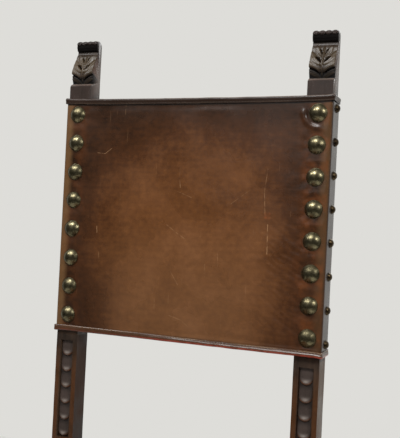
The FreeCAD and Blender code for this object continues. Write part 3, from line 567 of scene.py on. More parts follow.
def sink(bm, x0, x1, z0, z1, face_y, depth):
    """A recess in the front face."""
    cut(bm, RIGHT, (x0, x1))
    cut(bm, UP, (z0, z1))
    chosen = []
    for face in bm.faces:
        middle = face.calc_center_median()
        flat = face.normal.y < -0.99 and abs(middle.y - face_y) < 0.1
        if flat and x0 < middle.x < x1 and z0 < middle.z < z1:
            chosen.append(face)
    floor = drawn_out(bm, chosen + list({e for f in chosen for e in f.edges}), False)
    bmesh.ops.translate(bm, verts=floor, vec=BACK * depth)


def softened(bm, radius, segments=2, angle=25, keep=lambda edge: True):
    """Rounds the sharp edges, and marks the rounded faces as worn."""
    bmesh.ops.dissolve_limit(bm, angle_limit=0.02, verts=bm.verts[:], edges=bm.edges[:])
    layer = wear_marks(bm)
    bm.normal_update()
    edges = [e for e in bm.edges if len(e.link_faces) == 2 and e.calc_face_angle() > math.radians(angle) and keep(e)]
    for face in rounded(bm, edges, radius, segments):
        for loop in face.loops:
            loop[layer] = (0.85, 0, 0, 1)


def smoothstep(low, high, value):
    t = min(1, max(0, (value - low) / (high - low)))
    return t * t * (3 - 2 * t)


def hand_worked(bm, amount, scale, verts=None):
    """The slight unevenness that hand tools leave."""
    for vert in verts or bm.verts:
        vert.co += noise.noise_vector(vert.co / scale) * amount


def arc(start, middle, end, spacing):
    """Points from start to end round the circle through three points, without the start."""
    (ax, ay), (bx, by), (cx, cy) = start, middle, end
    d = 2 * (ax * (by - cy) + bx * (cy - ay) + cx * (ay - by))
    ux = ((ax ** 2 + ay ** 2) * (by - cy) + (bx ** 2 + by ** 2) * (cy - ay) + (cx ** 2 + cy ** 2) * (ay - by)) / d
    uy = ((ax ** 2 + ay ** 2) * (cx - bx) + (bx ** 2 + by ** 2) * (ax - cx) + (cx ** 2 + cy ** 2) * (bx - ax)) / d
    a0, a1, a2 = (math.atan2(y - uy, x - ux) for x, y in (start, middle, end))
    turn = 2 * math.pi
    span = (a2 - a0) % turn
    if (a1 - a0) % turn > span:
        span -= turn
    radius = math.hypot(ax - ux, ay - uy)
    count = max(2, math.ceil(abs(span) * radius / spacing))
    return [(ux + radius * math.cos(a0 + span * i / count), uy + radius * math.sin(a0 + span * i / count))
            for i in range(1, count + 1)]


def line(start, end, spacing):
    """Points along a straight line, without its start."""
    count = max(1, math.ceil(math.dist(start, end) / spacing))
    return [(start[0] + (end[0] - start[0]) * i / count, start[1] + (end[1] - start[1]) * i / count)
            for i in range(1, count + 1)]


# Carving


def tongue(bm, place, first):
    """One scale: a convex tongue that rises from under the last to its worn round tip, standing on the
    channel's floor. Drawn with X across, Y into the wood and Z up from its start."""
    half = channel_width / 2 - scale_inset
    curve = 12.1
    verts = grid(bm, 18, 26)
    top = -scale_inset if first else 9.0
    layer = wear_marks(bm)
    rolls = {}
    for vert in verts:
        x = half * math.sin(vert.co.x * math.pi / 2)
        tip = scale_inset - scale_pitch + curve - math.sqrt(curve ** 2 - x ** 2)
        z = top + (tip - top) * (1 - ((1 + vert.co.y) / 2) ** 1.5)
        # It swells towards its tip, more in its middle, so that its lower middle catches the light
        sides = channel_depth - 0.2 - 0.7 * smoothstep(0, 12, -z)
        swell = min(1, max(0, -z) / (scale_pitch - 5)) ** 4.5
        crown = 0.4 + (sides - 0.4 - scale_high) * swell
        depth = sides - crown * (1 - (x / half) ** 2)
        # The tip rolls over, and so, more tightly, do the sides
        to_tip = 1 - (z - tip) / 4.2
        to_side = abs(x) - half + 1.0 if z < 0 else 0
        roll = min(1, math.hypot(max(0, to_tip), max(0, to_side) * 0.8))
        depth += 2.9 * (1 - math.sqrt(1 - roll ** 2 * 0.98))
        vert.co = (x, min(depth, channel_depth + 0.3), z)
        # Painted highlight, partly wear: a paler spot on the lower middle of each scale
        spot = bump(z - tip, 5.5, 2.6) * bump(x / half, 0, 0.45)
        rolls[vert] = (max(0, to_tip), z, spot)
    faces = faces_of(verts)
    for face in faces:
        face.material_index = 1
        for loop in face.loops:
            roll, z, spot = rolls[loop.vert]
            # Painted shadow: the top of each scale, under the tip above it, and the rolled-under edge of its own tip
            # are darker
            under = 0.45 * smoothstep(-9, 0, z) * (not first)
            loop[layer] = (0.15 + 0.75 * spot, smoothstep(0.1, 0.4, roll),
                           max(under, 0.6 * smoothstep(0.75, 1, roll)), 1)
    copies = drawn_out(bm, faces)
    for vert in copies:
        vert.co.y = channel_depth + 0.4
    bmesh.ops.recalc_face_normals(bm, faces=faces_of(verts + copies))
    bmesh.ops.transform(bm, matrix=place, verts=verts + copies)


def scales(bm, place, count):
    for i in range(count):
        tongue(bm, place @ Matrix.Translation(DOWN * (i * scale_pitch)), i == 0)


def warm_strips(bm, x, low, high, face_y, bare_low):
    """The strips of the face beside a channel are rubbed to a warm brown, less so towards the channel's ends, and
    are darkened just below their top: painted shade. From a height up, the outer sides are rubbed paler and the inner
    sides are warmer and darker."""
    layer = wear_marks(bm)
    for face in bm.faces:
        middle = face.calc_center_median()
        if face.normal.y < -0.9 and abs(middle.y - face_y) < 0.6 and low < middle.z < high:
            for loop in face.loops:
                aside, z = abs(loop.vert.co.x - x), loop.vert.co.z
                across = smoothstep(channel_width / 2 - 0.5, channel_width / 2 + 2, aside)
                along = smoothstep(low, low + 25, z) * smoothstep(0, 70, high - z)
                # Darker just below the top: painted shade
                loop[layer] = (0.1, across * along, 0.35 * (1 - smoothstep(0, 25, high - z)), 1)
        elif abs(face.normal.x) > 0.9 and bare_low - 40 < middle.z < high:
            for loop in face.loops:
                along = smoothstep(bare_low - 40, bare_low + 60, loop.vert.co.z)
                loop[layer] = (0.55 * along, 0.2, 0, 1) if middle.x > x else (0, 0.8 * along, 0.5 * along, 1)


# Each lobe of the leaf on one side: its foot and tip across and up, half its width, its height and its bend
LEAF_LOBES = (
    (1.0, 25.0, 22.0, 35.5, 4.2, 1.0, -1.5),
    (2.0, 36.0, 27.0, 54.0, 8.4, 1.5, 2.2),
    (2.0, 47.0, 23.5, 70.0, 7.6, 1.3, 2.2),
    (1.5, 58.0, 13.0, 80.0, 5.6, 0.9, 1.4),
)
# Deep cuts on one side: two ends, width, depth and bend. The first parts the leaf from the small lobe below it,
# and the others are the eyes between its lobes.
LEAF_CUTS = (
    (5.5, 35.0, 23.0, 43.0, 1.7, 3.2, 1.6),
    (3.2, 51.5, 11.5, 59.5, 1.8, 4.2, 0.9),
    (2.8, 64.5, 6.8, 73.5, 1.1, 3.0, 0.5),
)
LEAF_GROUND = -1.2


def leaf_height(x, t):
    """How far the acanthus leaf stands out of the finial's front at a place across and up it: a broad body,
    its lobes and main vein, and the few deep cuts."""
    x = abs(x)
    foot = 34.5 + 0.42 * max(0, x - 5)
    body = LEAF_GROUND + 2.6 * smoothstep(foot, foot + 5, t) * smoothstep(84, 74, t)
    height = body
    for foot_x, foot_t, tip_x, tip_t, wide, tall, bend in LEAF_LOBES:
        run_x, run_t = tip_x - foot_x, tip_t - foot_t
        length = math.hypot(run_x, run_t)
        along = ((x - foot_x) * run_x + (t - foot_t) * run_t) / length ** 2
        if not 0 < along < 1:
            continue
        side = ((x - foot_x) * run_t - (t - foot_t) * run_x) / length - bend * math.sin(math.pi * along)
        width = wide * math.sin(math.pi * along ** 0.75) ** 0.55
        if abs(side) < width:
            dome = 1 - (side / width) ** 2
            lobe = body + tall * dome * (0.55 + 0.45 * math.sin(math.pi / 2 * along))
            lobe -= 0.3 * bump(side, 0, 0.9) * math.sin(math.pi * along)
            height = max(height, lobe)
    taper = 1.7 - 0.9 * (t - 27) / 57
    shown = smoothstep(26, 34, t) * smoothstep(84, 72, t)
    if x < 2 * taper:
        height = max(height, body + 0.9 * bump(x, 0, taper) * shown)
    height -= 0.5 * bump(x, taper * 1.9, 0.7) * shown
    for x0, t0, x1, t1, wide, deep, bend in LEAF_CUTS:
        run_x, run_t = x1 - x0, t1 - t0
        length = math.hypot(run_x, run_t)
        along = min(1, max(0, ((x - x0) * run_x + (t - t0) * run_t) / length ** 2))
        side = ((x - x0) * run_t - (t - t0) * run_x) / length + bend * math.sin(math.pi * along)
        past = max(0, abs(((x - x0) * run_x + (t - t0) * run_t) / length - length / 2) - length / 2)
        width = wide * (0.4 + 0.6 * math.sin(math.pi * along))
        height -= deep * bump(math.hypot(side, past), 0, width)
    return max(height, -3.4)


def scroll_height(x, angle):
    """The leaf's curl over the scroll: four small volutes side by side over its top, cut away below."""
    lobe_width = post_width / 4
    across = (x / lobe_width) % 1 * 2 - 1
    bulge = math.sqrt(max(0, 1 - across ** 2))
    over = 1 / (1 + math.exp(-(angle - (34 - 20 * bulge)) / 2.2))
    ring = math.hypot(across * lobe_width / 2, math.radians(angle - 44) * scroll_radius)
    volute = 0.75 * bump(ring, 3.3, 1.0) + 0.7 * bump(ring, 0, 1.1)
    return over * (0.1 + 0.5 * bulge + volute) - (1 - over) * 1.8


def finial_profile():
    """The side view of a finial from the hidden foot of its front, over the scroll and down its back: for
    each point the part of the finial it belongs to, and its place."""
    neck_y = scroll_y - scroll_radius * scroll_neck_share
    neck_t = scroll_t - scroll_radius * math.sqrt(1 - scroll_neck_share ** 2)
    eighth = scroll_radius * math.sqrt(0.5)
    runs = [
        ("block", line((0, -hidden_foot), (0, finial_block - finial_chamfer), 4)),
        ("block", line((0, finial_block - finial_chamfer), (finial_chamfer, finial_block), 1.2)),
        ("block", line((finial_chamfer, finial_block), (leaf_setback, finial_block), 1.2)),
        ("leaf", arc((leaf_setback, finial_block), belly, shoulder, 0.62)),
        ("leaf", arc(shoulder, neck, (neck_y, neck_t), 0.62)),
        ("scroll", arc((neck_y, neck_t), (scroll_y - scroll_radius, scroll_t), (scroll_y, finial_height), 0.62)),
        ("scroll", arc((scroll_y, finial_height), (scroll_y + eighth, scroll_t + eighth),
                       (post_depth, scroll_t), 1.0)),
        ("back", line((post_depth, scroll_t), (post_depth, -hidden_foot), 9)),
    ]
    return [("block", (0, -hidden_foot))] + [(part, point) for part, points in runs for point in points]


def finial(bm):
    """A carved finial on the right post, as one sheet bent over its side view and closed at both ends."""
    profile = finial_profile()
    half = post_width / 2
    edge = 0.9
    verts = grid(bm, 62, len(profile) - 1)
    layer = wear_marks(bm)
    shade, rows = {}, {}
    for vert in verts:
        row = round((vert.co.y + 1) / 2 * (len(profile) - 1))
        part, (y, t) = profile[row]
        before, after = profile[max(0, row - 1)][1], profile[min(len(profile) - 1, row + 1)][1]
        out = Vector((0, -(after[1] - before[1]), after[0] - before[0])).normalized()
        x = half * vert.co.x
        raised = 0.0
        if part == "leaf" or (part == "scroll" and t < scroll_t - scroll_radius * 0.8):
            raised = leaf_height(x, t) * min(1, (t - finial_block) / 1.5)
            if t > 80:
                raised += (-0.6 - raised) * min(1, (t - 80) / 5)
        elif part == "scroll":
            angle = math.degrees(math.atan2(t - scroll_t, scroll_y - y))
            raised = scroll_height(x, angle)
            raised += (-0.6 - raised) * smoothstep(scroll_t - scroll_radius * 0.5, scroll_t - scroll_radius * 0.85, t)
            if angle > 120:
                raised *= max(0, 1 - (angle - 120) / 50)
        over = abs(x) - (half - edge)
        rounded = edge - math.sqrt(max(0, edge ** 2 - over ** 2)) if over > 0 else 0
        vert.co = Vector((post_x + x, y, panel_top + t)) + out * (raised - rounded)
        shade[vert] = (raised, part)
        rows[vert] = row
    for face in faces_of(verts):
        deepest = min(shade[v][0] for v in face.verts)
        carved = 1 if any(shade[v][1] in ("block", "scroll") for v in face.verts) else 2
        # Deep cuts and the concave band under the scroll get the darker, duller walnut of painted shade
        at_neck = all(84 < v.co.z - panel_top < 92 for v in face.verts)
        face.material_index = 3 if deepest < -1.5 or at_neck else carved
        for loop in face.loops:
            raised, part = shade[loop.vert]
            t = loop.vert.co.z - panel_top
            # Painted shade: the leaf's cuts and hollows, the recess below it, the cut-away underside of the scroll and
            # the band under the scroll are darker
            hollow = smoothstep(0.7, 1.7, -raised) if t > 76 else max(smoothstep(-0.3, 1.2, -raised),
                                                                     0.4 * smoothstep(37, 29, t))
            if part == "scroll":
                hollow = smoothstep(0.2, 0.9, -raised)
            if 82 < t < 92:
                hollow = max(hollow, 0.4 * smoothstep(82, 86, t))
            if part in ("leaf", "scroll"):
                olive = 0.55 * smoothstep(42, 50, t) * smoothstep(80, 72, t) + 0.6 * smoothstep(38, 32, t)
                loop[layer] = (smoothstep(1.2, 3.2, raised) * 0.25, olive, hollow, 1)
            else:
                # Paler, warmer top edge of the block: wear, and a painted highlight on its chamfer
                worn_and_lit_edge = smoothstep(finial_block - 3.5, finial_block - 0.5, t)
                loop[layer] = (0.1 + 0.4 * worn_and_lit_edge, 0.5 * worn_and_lit_edge, 0, 1)
    last = len(profile) - 1
    ends = [e for e in bm.edges if e.is_boundary and e.verts[0] in rows and e.verts[1] in rows
            and rows[e.verts[0]] == rows[e.verts[1]] and rows[e.verts[0]] in (0, last)]
    bmesh.ops.bridge_loops(bm, edges=ends)
    open_edges = [e for e in bm.edges if e.is_boundary]
    bmesh.ops.holes_fill(bm, edges=open_edges, sides=0)


# Posts and legs


def unleaned(y, z):
    """A place on the chair's side view as one on the upright back."""
    spot = UNLEAN @ Vector((0, y, z))
    return spot.y, spot.z


def build_posts():
    rear_bend = (leg_depth - post_depth * lean_cos) / lean_sin
    hidden_top = panel_top - hidden_foot
    outline = [unleaned(post_front + rake_reach, 0), unleaned(post_front, rake_height), (0, 0), (0, hidden_top),
               (post_depth, hidden_top), (post_depth, rear_bend), unleaned(post_front + leg_depth, rake_height),
               unleaned(post_front + leg_depth + rake_reach, 0)]
    for side, name in ((1, "right"), (-1, "left")):
        bm = prism([(inner_x, y, z) for y, z in outline], RIGHT * post_width)
        low = post_channel_top - post_scales * scale_pitch
        half = channel_width / 2
        sink(bm, post_x - half, post_x + half, low, post_channel_top, 0, channel_depth)
        softened(bm, 0.9)
        cut(bm, UP, steps(-440, 620, 14))
        cut(bm, RIGHT, (inner_x + 3.5, post_x - half - 2, post_x + half + 2, outer_x - 3.5))
        warm_strips(bm, post_x, low - 60, post_channel_top + 6, 0, low - 60)
        hand_worked(bm, 0.28, 38)
        scales(bm, Matrix.Translation((post_x, 0, post_channel_top)), post_scales)
        finial(bm)
        if side < 0:
            bmesh.ops.transform(bm, matrix=mirrored(UPRIGHT), verts=bm.verts[:])
            hand_worked(bm, 0.2, 17)
        turned_out(bm)
        piece(name + "_post_carved", bm, CARVING, [name + "_back_post"], LEAN,
              grain=2, sharp=40)


def build_front_legs():
    for side, name in ((1, "right"), (-1, "left")):
        bm = bmesh.new()
        block(bm, leg_inner_x, outer_x, leg_front, leg_back, 0, seat_frame_height)
        half = channel_width / 2
        channels = ((46.0, 4), (279.0, 3))
        for low, count in channels:
            sink(bm, leg_x - half, leg_x + half, low, low + count * scale_pitch, leg_front, channel_depth)
        softened(bm, 0.9)
        cut(bm, RIGHT, (leg_inner_x + 3.5, leg_x - half - 2, leg_x + half + 2, outer_x - 3.5))
        cut(bm, UP, steps(3, seat_frame_height, 14))
        for low, count in channels:
            warm_strips(bm, leg_x, low - 12, low + count * scale_pitch + 12, leg_front, 150)
        hand_worked(bm, 0.28, 38)
        for vert in bm.verts:
            if vert.co.z < 3:
                inwards = Vector((leg_x - vert.co.x, (leg_front + leg_back) / 2 - vert.co.y, 0))
                vert.co += inwards.normalized() * (3 - vert.co.z)
        for low, count in channels:
            scales(bm, Matrix.Translation((leg_x, leg_front, low + count * scale_pitch)), count)
        if side < 0:
            bmesh.ops.transform(bm, matrix=mirrored(UPRIGHT), verts=bm.verts[:])
        turned_out(bm)
        for vert in bm.verts:
            vert.co.z = max(0, vert.co.z)
        piece(name + "_leg_carved", bm, [walnut, scale_walnut], [name + "_front_leg"], grain=2,
              sharp=40)


# Rails and stretchers


def rail(name, node, box, tenons, grain):
    """A planed bar with eased edges and its tenons."""
    bm = bmesh.new()
    block(bm, *box)
    softened(bm, 1.2)
    long_axis = (RIGHT, BACK, UP)[grain]
    cut(bm, long_axis, steps(box[2 * grain], box[2 * grain + 1], 15))
    hand_worked(bm, 0.25, 42)
    for tenon in tenons:
        block(bm, *tenon)
    piece(name, bm, walnut, [node], grain=grain)


def end_tenons(reach, y, bottom, top):
    """The tenons of a bar across the chair, whose shoulders are at a reach from the middle."""
    half = tenon_thickness / 2
    return [(*sorted((s * reach, s * (reach + tenon_length))), y - half, y + half, bottom + tenon_shoulder,
             top - tenon_shoulder) for s in (1, -1)]


def build_rails():
    z0, z1 = rail_bottom, seat_frame_height
    low, high = z0 + tenon_shoulder, z1 - tenon_shoulder
    half = tenon_thickness / 2
    rail("front_rail_planed", "front_seat_rail",
         (-leg_inner_x, leg_inner_x, leg_front, leg_front + rail_thickness, z0, z1),
         end_tenons(leg_inner_x, leg_front + rail_thickness / 2, z0, z1), 0)
    rail("rear_rail_planed", "rear_seat_rail", (-inner_x, inner_x, rear_rail_front, rear_rail_back, z0, z1),
         end_tenons(inner_x, (rear_rail_front + rear_rail_back) / 2, z0, z1), 0)
    for side, name in ((1, "right"), (-1, "left")):
        x0, x1 = sorted((side * (outer_x - rail_thickness), side * outer_x))
        x = (x0 + x1) / 2
        rail(name + "_rail_planed", name + "_seat_rail", (x0, x1, leg_back, post_front, z0, z1),
             [(x - half, x + half, leg_back - tenon_length, leg_back, low, high),
              (x - half, x + half, post_front, post_front + tenon_length, low, high)], 1)


def rake_at(height):
    return rake_reach * (1 - height / rake_height)


def build_side_stretchers():
    bottom, top = side_bar
    half = stretcher_thickness / 2
    tenon = tenon_thickness / 2
    z0, z1 = bottom + tenon_shoulder, top - tenon_shoulder
    rear = post_front + rake_at(z1)
    for side, name in ((1, "right"), (-1, "left")):
        x = side * post_x
        bm = prism([(x - half, leg_back, bottom), (x - half, leg_back, top), (x - half, post_front + rake_at(top), top),
                    (x - half, post_front + rake_at(bottom), bottom)], RIGHT * stretcher_thickness)
        softened(bm, 1.6, 3)
        cut(bm, BACK, steps(leg_back, post_front, 15))
        hand_worked(bm, 0.25, 42)
        block(bm, x - tenon, x + tenon, leg_back - tenon_length, leg_back, z0, z1)
        block(bm, x - tenon, x + tenon, rear, rear + tenon_length, z0, z1)
        piece(name + "_stretcher_planed", bm, walnut, [name + "_side_stretcher"], grain=1)


def build_rear_stretcher():
    bottom, top = rear_bar
    middle = post_front + rake_at((bottom + top) / 2) + leg_depth / 2
    half = stretcher_thickness / 2
    bm = bmesh.new()
    block(bm, -inner_x, inner_x, middle - half, middle + half, bottom, top)
    softened(bm, 1.6, 3)
    cut(bm, RIGHT, steps(-inner_x, inner_x, 15))
    hand_worked(bm, 0.25, 42)
    for tenon in end_tenons(inner_x, middle, bottom, top):
        block(bm, *tenon)
    piece("rear_stretcher_planed", bm, walnut, ["rear_stretcher"], grain=0)


def spun(profile, count):
    """A mesh turned about Z from a profile in radius and height."""
    bm = bmesh.new()
    verts = [bm.verts.new((radius, 0, z)) for radius, z in profile]
    edges = [bm.edges.new(pair) for pair in zip(verts, verts[1:])]
    bmesh.ops.spin(bm, geom=verts + edges, axis=UP, cent=(0, 0, 0), angle=2 * math.pi, steps=count,
                   use_merge=True, use_duplicate=False)
    bmesh.ops.remove_doubles(bm, verts=bm.verts[:], dist=0.0001)
    return turned_out(bm)


def placed_copies(bm, mesh, places):
    """Copies of a mesh added at places."""
    for place in places:
        copy = mesh.copy()
        copy.transform(place)
        bm.from_mesh(copy)
        bpy.data.meshes.remove(copy)


def build_front_stretcher():
    bottom, top = front_board_bottom, front_board_bottom + front_board_height
    face_y = leg_front + front_board_setback
    arch_end, drop_end, arch_rise = leg_inner_x - 24, 44.0, 17.0
    arch_middle = (arch_end + drop_end) / 2
    right = [(arch_end, bottom)] + arc((arch_end, bottom), (arch_middle, bottom + arch_rise), (drop_end, bottom), 6)
    lower = [(leg_inner_x, bottom)] + right + [(-x, z) for x, z in reversed(right)] + [(-leg_inner_x, bottom)]
    points = [(-leg_inner_x, top), (leg_inner_x, top)] + lower
    bm = prism([(x, face_y, z) for x, z in points], BACK * stretcher_thickness)
    axis_z = (top + bottom + arch_rise) / 2
    half = channel_width / 2
    start = roundel_radius + 1.2
    length = 5 * scale_pitch
    for x0 in (start, -start - length):
        sink(bm, x0, x0 + length, axis_z - half, axis_z + half, face_y, channel_depth)
    softened(bm, 0.9)
    # The round hollow in the middle: its square is cut out and bridged to a turned dish with its boss
    reach = roundel_radius + 0.6
    cut(bm, RIGHT, (-reach, reach))
    cut(bm, UP, (axis_z - reach, axis_z + reach))
    hole = [f for f in bm.faces if f.normal.y < -0.99 and abs(f.calc_center_median().x) < reach
            and abs(f.calc_center_median().z - axis_z) < reach and abs(f.calc_center_median().y - face_y) < 0.1]
    rim = {e for f in hole for e in f.edges if sum(g in hole for g in e.link_faces) == 1}
    bmesh.ops.delete(bm, geom=hole, context="FACES_ONLY")
    bmesh.ops.subdivide_edges(bm, edges=list(rim), cuts=5)
    rim = [e for e in bm.edges if e.is_boundary]
    sphere = [(boss_radius * math.sin(a), boss_height - 0.9 - channel_depth + 4.2 * math.cos(a) - 3.3)
              for a in (0, 0.3, 0.6, 0.9, 1.15, 1.35, 1.5)]
    dish = [(roundel_radius, 0), (roundel_radius - 0.5, -0.5), (roundel_radius - 0.8, -channel_depth + 0.6),
            (roundel_radius - 1.6, -channel_depth), (boss_radius + 2.6, -channel_depth),
            (boss_radius + 1.8, -channel_depth + 1.0), (boss_radius + 0.9, -channel_depth + 1.0),
            (boss_radius + 0.3, -channel_depth + 0.2)] + list(reversed(sphere))
    mesh = as_mesh(spun(dish, 48), "roundel")
    before = set(bm.edges)
    placed_copies(bm, mesh, [Matrix.Translation((0, face_y, axis_z)) @ Matrix.Rotation(math.pi / 2, 4, "X")])
    ring = [e for e in bm.edges if e not in before and e.is_boundary]
    bmesh.ops.bridge_loops(bm, edges=rim + ring)
    cut(bm, RIGHT, steps(-leg_inner_x, leg_inner_x, 15))
    hand_worked(bm, 0.22, 38)
    for s, tenon in zip((1, -1), end_tenons(leg_inner_x, face_y + stretcher_thickness / 2, bottom, top)):
        sideways = Matrix.Translation((s * start, face_y, axis_z)) @ Matrix.Rotation(s * -math.pi / 2, 4, "Y")
        scales(bm, sideways, 5)
        block(bm, *tenon)
    turned_out(bm)
    piece("front_stretcher_carved", bm, [walnut, scale_walnut], ["front_stretcher"], grain=0,
          sharp=40)


# Nails and pegs


def dome_profile(radius, height, shank):
    """Half the outline of a nail: a dome on a thin lip, and a pointed shank below."""
    lip = radius * 0.055
    inner = radius - lip
    cap = height - lip * 1.3
    sphere = (inner ** 2 + cap ** 2) / (2 * cap)
    spread = math.asin(inner / sphere)
    dome = [(sphere * math.sin(spread * i / 12), height - sphere + sphere * math.cos(spread * i / 12))
            for i in range(13)]
    lip_part = [(inner + lip * 0.25, lip * 0.8), (radius - lip * 0.2, lip * 0.75), (radius, lip * 0.4),
                (radius - lip * 0.2, 0)]
    return dome + lip_part + [(shank[0], 0), (shank[0], 4 - shank[1]), (0, -shank[1])]


def nails(name, node, profile, places, material, place=UPRIGHT, lean_by=0.03, count=40):
    """Nails driven by hand, so each leans a touch and none is quite round."""
    mesh = as_mesh(spun(profile, count), name + "_one")
    bm = bmesh.new()
    spots = []
    for spot, out in places:
        aim = Vector(out).to_track_quat("Z", "Y").to_matrix().to_4x4()
        tip = Matrix.Rotation(random.gauss(0, lean_by), 4, "X") @ Matrix.Rotation(random.gauss(0, lean_by), 4, "Y")
        turn = Matrix.Rotation(random.uniform(0, 6.28), 4, "Z")
        spots.append(Matrix.Translation(spot) @ aim @ tip @ turn)
    placed_copies(bm, mesh, spots)
    hand_worked(bm, 0.16, 7)
    piece(name, bm, material, [node], place, sharp=50)


def around(middle, count, pitch):
    return [middle + (i - (count - 1) / 2) * pitch for i in range(count)]


def evenly(count, low, high):
    return [low + i * (high - low) / (count - 1) for i in range(count)]


BACK_NAIL_ROWS = around(panel_middle, 8, back_dome_pitch)
REAR_NAIL_ROWS = evenly(9, panel_bottom + rear_stud_inset, panel_top - rear_stud_inset)
REAR_NAIL_COLUMNS = evenly(7, -post_x, post_x)
FRONT_COLUMNS = evenly(9, -leg_x, leg_x)
SIDE_COLUMNS = evenly(8, leg_front + front_leg / 2, post_front - front_leg / 2)
seat_nail_z = seat_frame_height - seat_nail_drop


def build_nails():
    large = dome_profile(dome_radius, dome_height, dome_shank)
    small = dome_profile(stud_radius, stud_height, stud_shank)
    nails("back_nails_domed", "back_front_nails", large,
          [((s * post_x, -leather, z), FRONT) for s in (1, -1) for z in BACK_NAIL_ROWS], brass,
          LEAN)
    rows = around(panel_middle, 8, side_stud_pitch)
    nails("back_side_nails_domed", "back_side_nails", small,
          [((s * (outer_x + leather), side_stud_setback, z), RIGHT * s) for s in (1, -1) for z in rows],
          dark_brass, LEAN, 0.05, 24)
    rear_y = post_depth + rear_leather
    spots = [(s * post_x, rear_y, z) for s in (1, -1) for z in REAR_NAIL_ROWS]
    spots += [(x, rear_y, z) for x in REAR_NAIL_COLUMNS[1:-1] for z in (REAR_NAIL_ROWS[0], REAR_NAIL_ROWS[-1])]
    nails("back_rear_nails_domed", "back_rear_nails", small, [(p, BACK) for p in spots], dark_brass,
          LEAN, 0.05, 24)
    nails("seat_front_nails_domed", "seat_front_nails", large,
          [((x, leg_front - leather, seat_nail_z), FRONT) for x in FRONT_COLUMNS], brass)
    nails("seat_side_nails_domed", "seat_side_nails", large,
          [((s * (outer_x + leather), y, seat_nail_z), RIGHT * s) for s in (1, -1) for y in SIDE_COLUMNS],
          brass)
    reach = inner_x - front_leg / 2
    nails("seat_rear_nails_domed", "seat_rear_nails", small,
          [((x, rear_rail_back + leather, seat_nail_z), BACK) for x in evenly(7, -reach, reach)],
          dark_brass, lean_by=0.05, count=24)


def build_pegs():
    """Riven pegs, rounded with a knife and left a hair proud."""
    outline = [(0, 0.45), (2.3, 0.35), (2.9, 0), (3, -0.6), (3, -25), (2.2, -27), (0, -27)]
    mesh = as_mesh(spun(outline, 9), "peg_one")
    in_from_edge = 9
    z_rail = rail_bottom + 16
    z_front = front_board_bottom + front_board_height / 2
    z_side, z_rear = sum(side_bar) / 2, sum(rear_bar) / 2
    side_y = post_front + rake_at(side_bar[1] - tenon_shoulder) + in_from_edge
    spots = []
    for s in (1, -1):
        x = s * (inner_x + in_from_edge)
        spots += [((x, leg_front, z_rail), FRONT), ((x, post_front + leg_depth, z_rail), BACK),
                  ((x, leg_back, z_front), BACK), ((x, post_front + rake_at(z_rear) + leg_depth, z_rear), BACK)]
        spots += [((s * outer_x, y, z), RIGHT * s) for y, z in (
            (leg_back - in_from_edge, z_rail), (post_front + in_from_edge, z_rail),
            (leg_back - in_from_edge, z_side), (side_y, z_side))]
        for z in (panel_bottom + 27, panel_top - 27):
            spots.append((LEAN @ Vector((x, post_depth, z)), LEAN.to_3x3() @ BACK))
    bm = bmesh.new()
    placed_copies(bm, mesh, [Matrix.Translation(p) @ Vector(out).to_track_quat("Z", "Y").to_matrix().to_4x4()
                             for p, out in spots])
    piece("joint_pegs_riven", bm, peg_wood, ["joint_pegs"], sharp=30)


# Leather back


def mapped(bm, name, rule, faces=None):
    """Writes a UV map in metres, from a rule on each vertex."""
    layer = bm.loops.layers.uv.get(name) or bm.loops.layers.uv.new(name)
    for face in faces or bm.faces:
        for loop in face.loops:
            loop[layer].uv = rule(loop.vert)


def back_fullness(z):
    share = min(1, max(0, (z - panel_bottom - binding_height) / (panel_top - panel_bottom - 2 * binding_height)))
    return 0.12 + 0.88 * math.sin(math.pi * share)


def back_swell(x, z):
    """How far the leather stands out in front of the plane of the posts: its padding, the pull of each nail
    and the slack between them."""
    height = back_crown * back_fullness(z) * max(0, 1 - (x / (inner_x - 0.3)) ** 2)
    inside = smoothstep(0, 14, z - panel_bottom - binding_height) * smoothstep(0, 14, panel_top - binding_height - z)
    height *= 0.25 + 0.75 * inside
    side = abs(x)
    nearest = min(math.hypot(side - post_x, z - row) for row in BACK_NAIL_ROWS)
    if side > 150 and side < outer_x - 1:
        slack = 1.1 * (1 - bump(max(0, nearest - dome_radius + 1), 0, 9))
        height += slack * smoothstep(150, 196, side) * smoothstep(0, 3, outer_x - side) * inside
        row = min(BACK_NAIL_ROWS, key=lambda r: abs(r - z))
        angle = math.atan2(z - row, post_x - side)
        if side < post_x:
            fade = math.exp(-max(0, nearest - dome_radius) / 16)
            height += 0.28 * math.sin(9 * angle + row) * fade * smoothstep(dome_radius, dome_radius + 4, nearest)
        height += 0.45 * bump(nearest - dome_radius, 1.6, 1.1)
    uneven = lumps(x, z, 90, 3.1) * 1.1 + lumps(x, z, 34, 7.7) * 0.3
    height += uneven * inside * smoothstep(0, 25, inner_x - side)
    # Diagonal creases between the lower right nails, and one tight fold round the top right nail
    slant = x * 0.52 + z * 0.85 + 11 * lumps(x, z, 34, 0)
    patch = smoothstep(95, 165, x) * smoothstep(205, 196, x) * smoothstep(465, 380, z) * smoothstep(250, 275, z)
    uneven_depth = max(0, 0.5 + 1.3 * lumps(x, z, 13, 5))
    height += 0.42 * patch * uneven_depth * math.sin(slant * 2 * math.pi / 9.5)
    round_nail = math.hypot(x - post_x, z - BACK_NAIL_ROWS[-1])
    turn = math.degrees(math.atan2(z - BACK_NAIL_ROWS[-1], x - post_x)) % 360
    fold = smoothstep(155, 185, turn) * smoothstep(295, 262, turn)
    steep = 1.7 + 1.1 * smoothstep(255, 205, turn)
    height += fold * (steep * bump(round_nail, 22.5, 2.9) - 1.2 * bump(round_nail, 17, 2.4))
    # The leather turns outwards where the hem holds it
    flare = 0.35 + 0.65 * smoothstep(-60, 150, x)
    return height + 1.35 * flare * bump(z - panel_bottom, binding_height, 2.8) * (side < outer_x - 2)


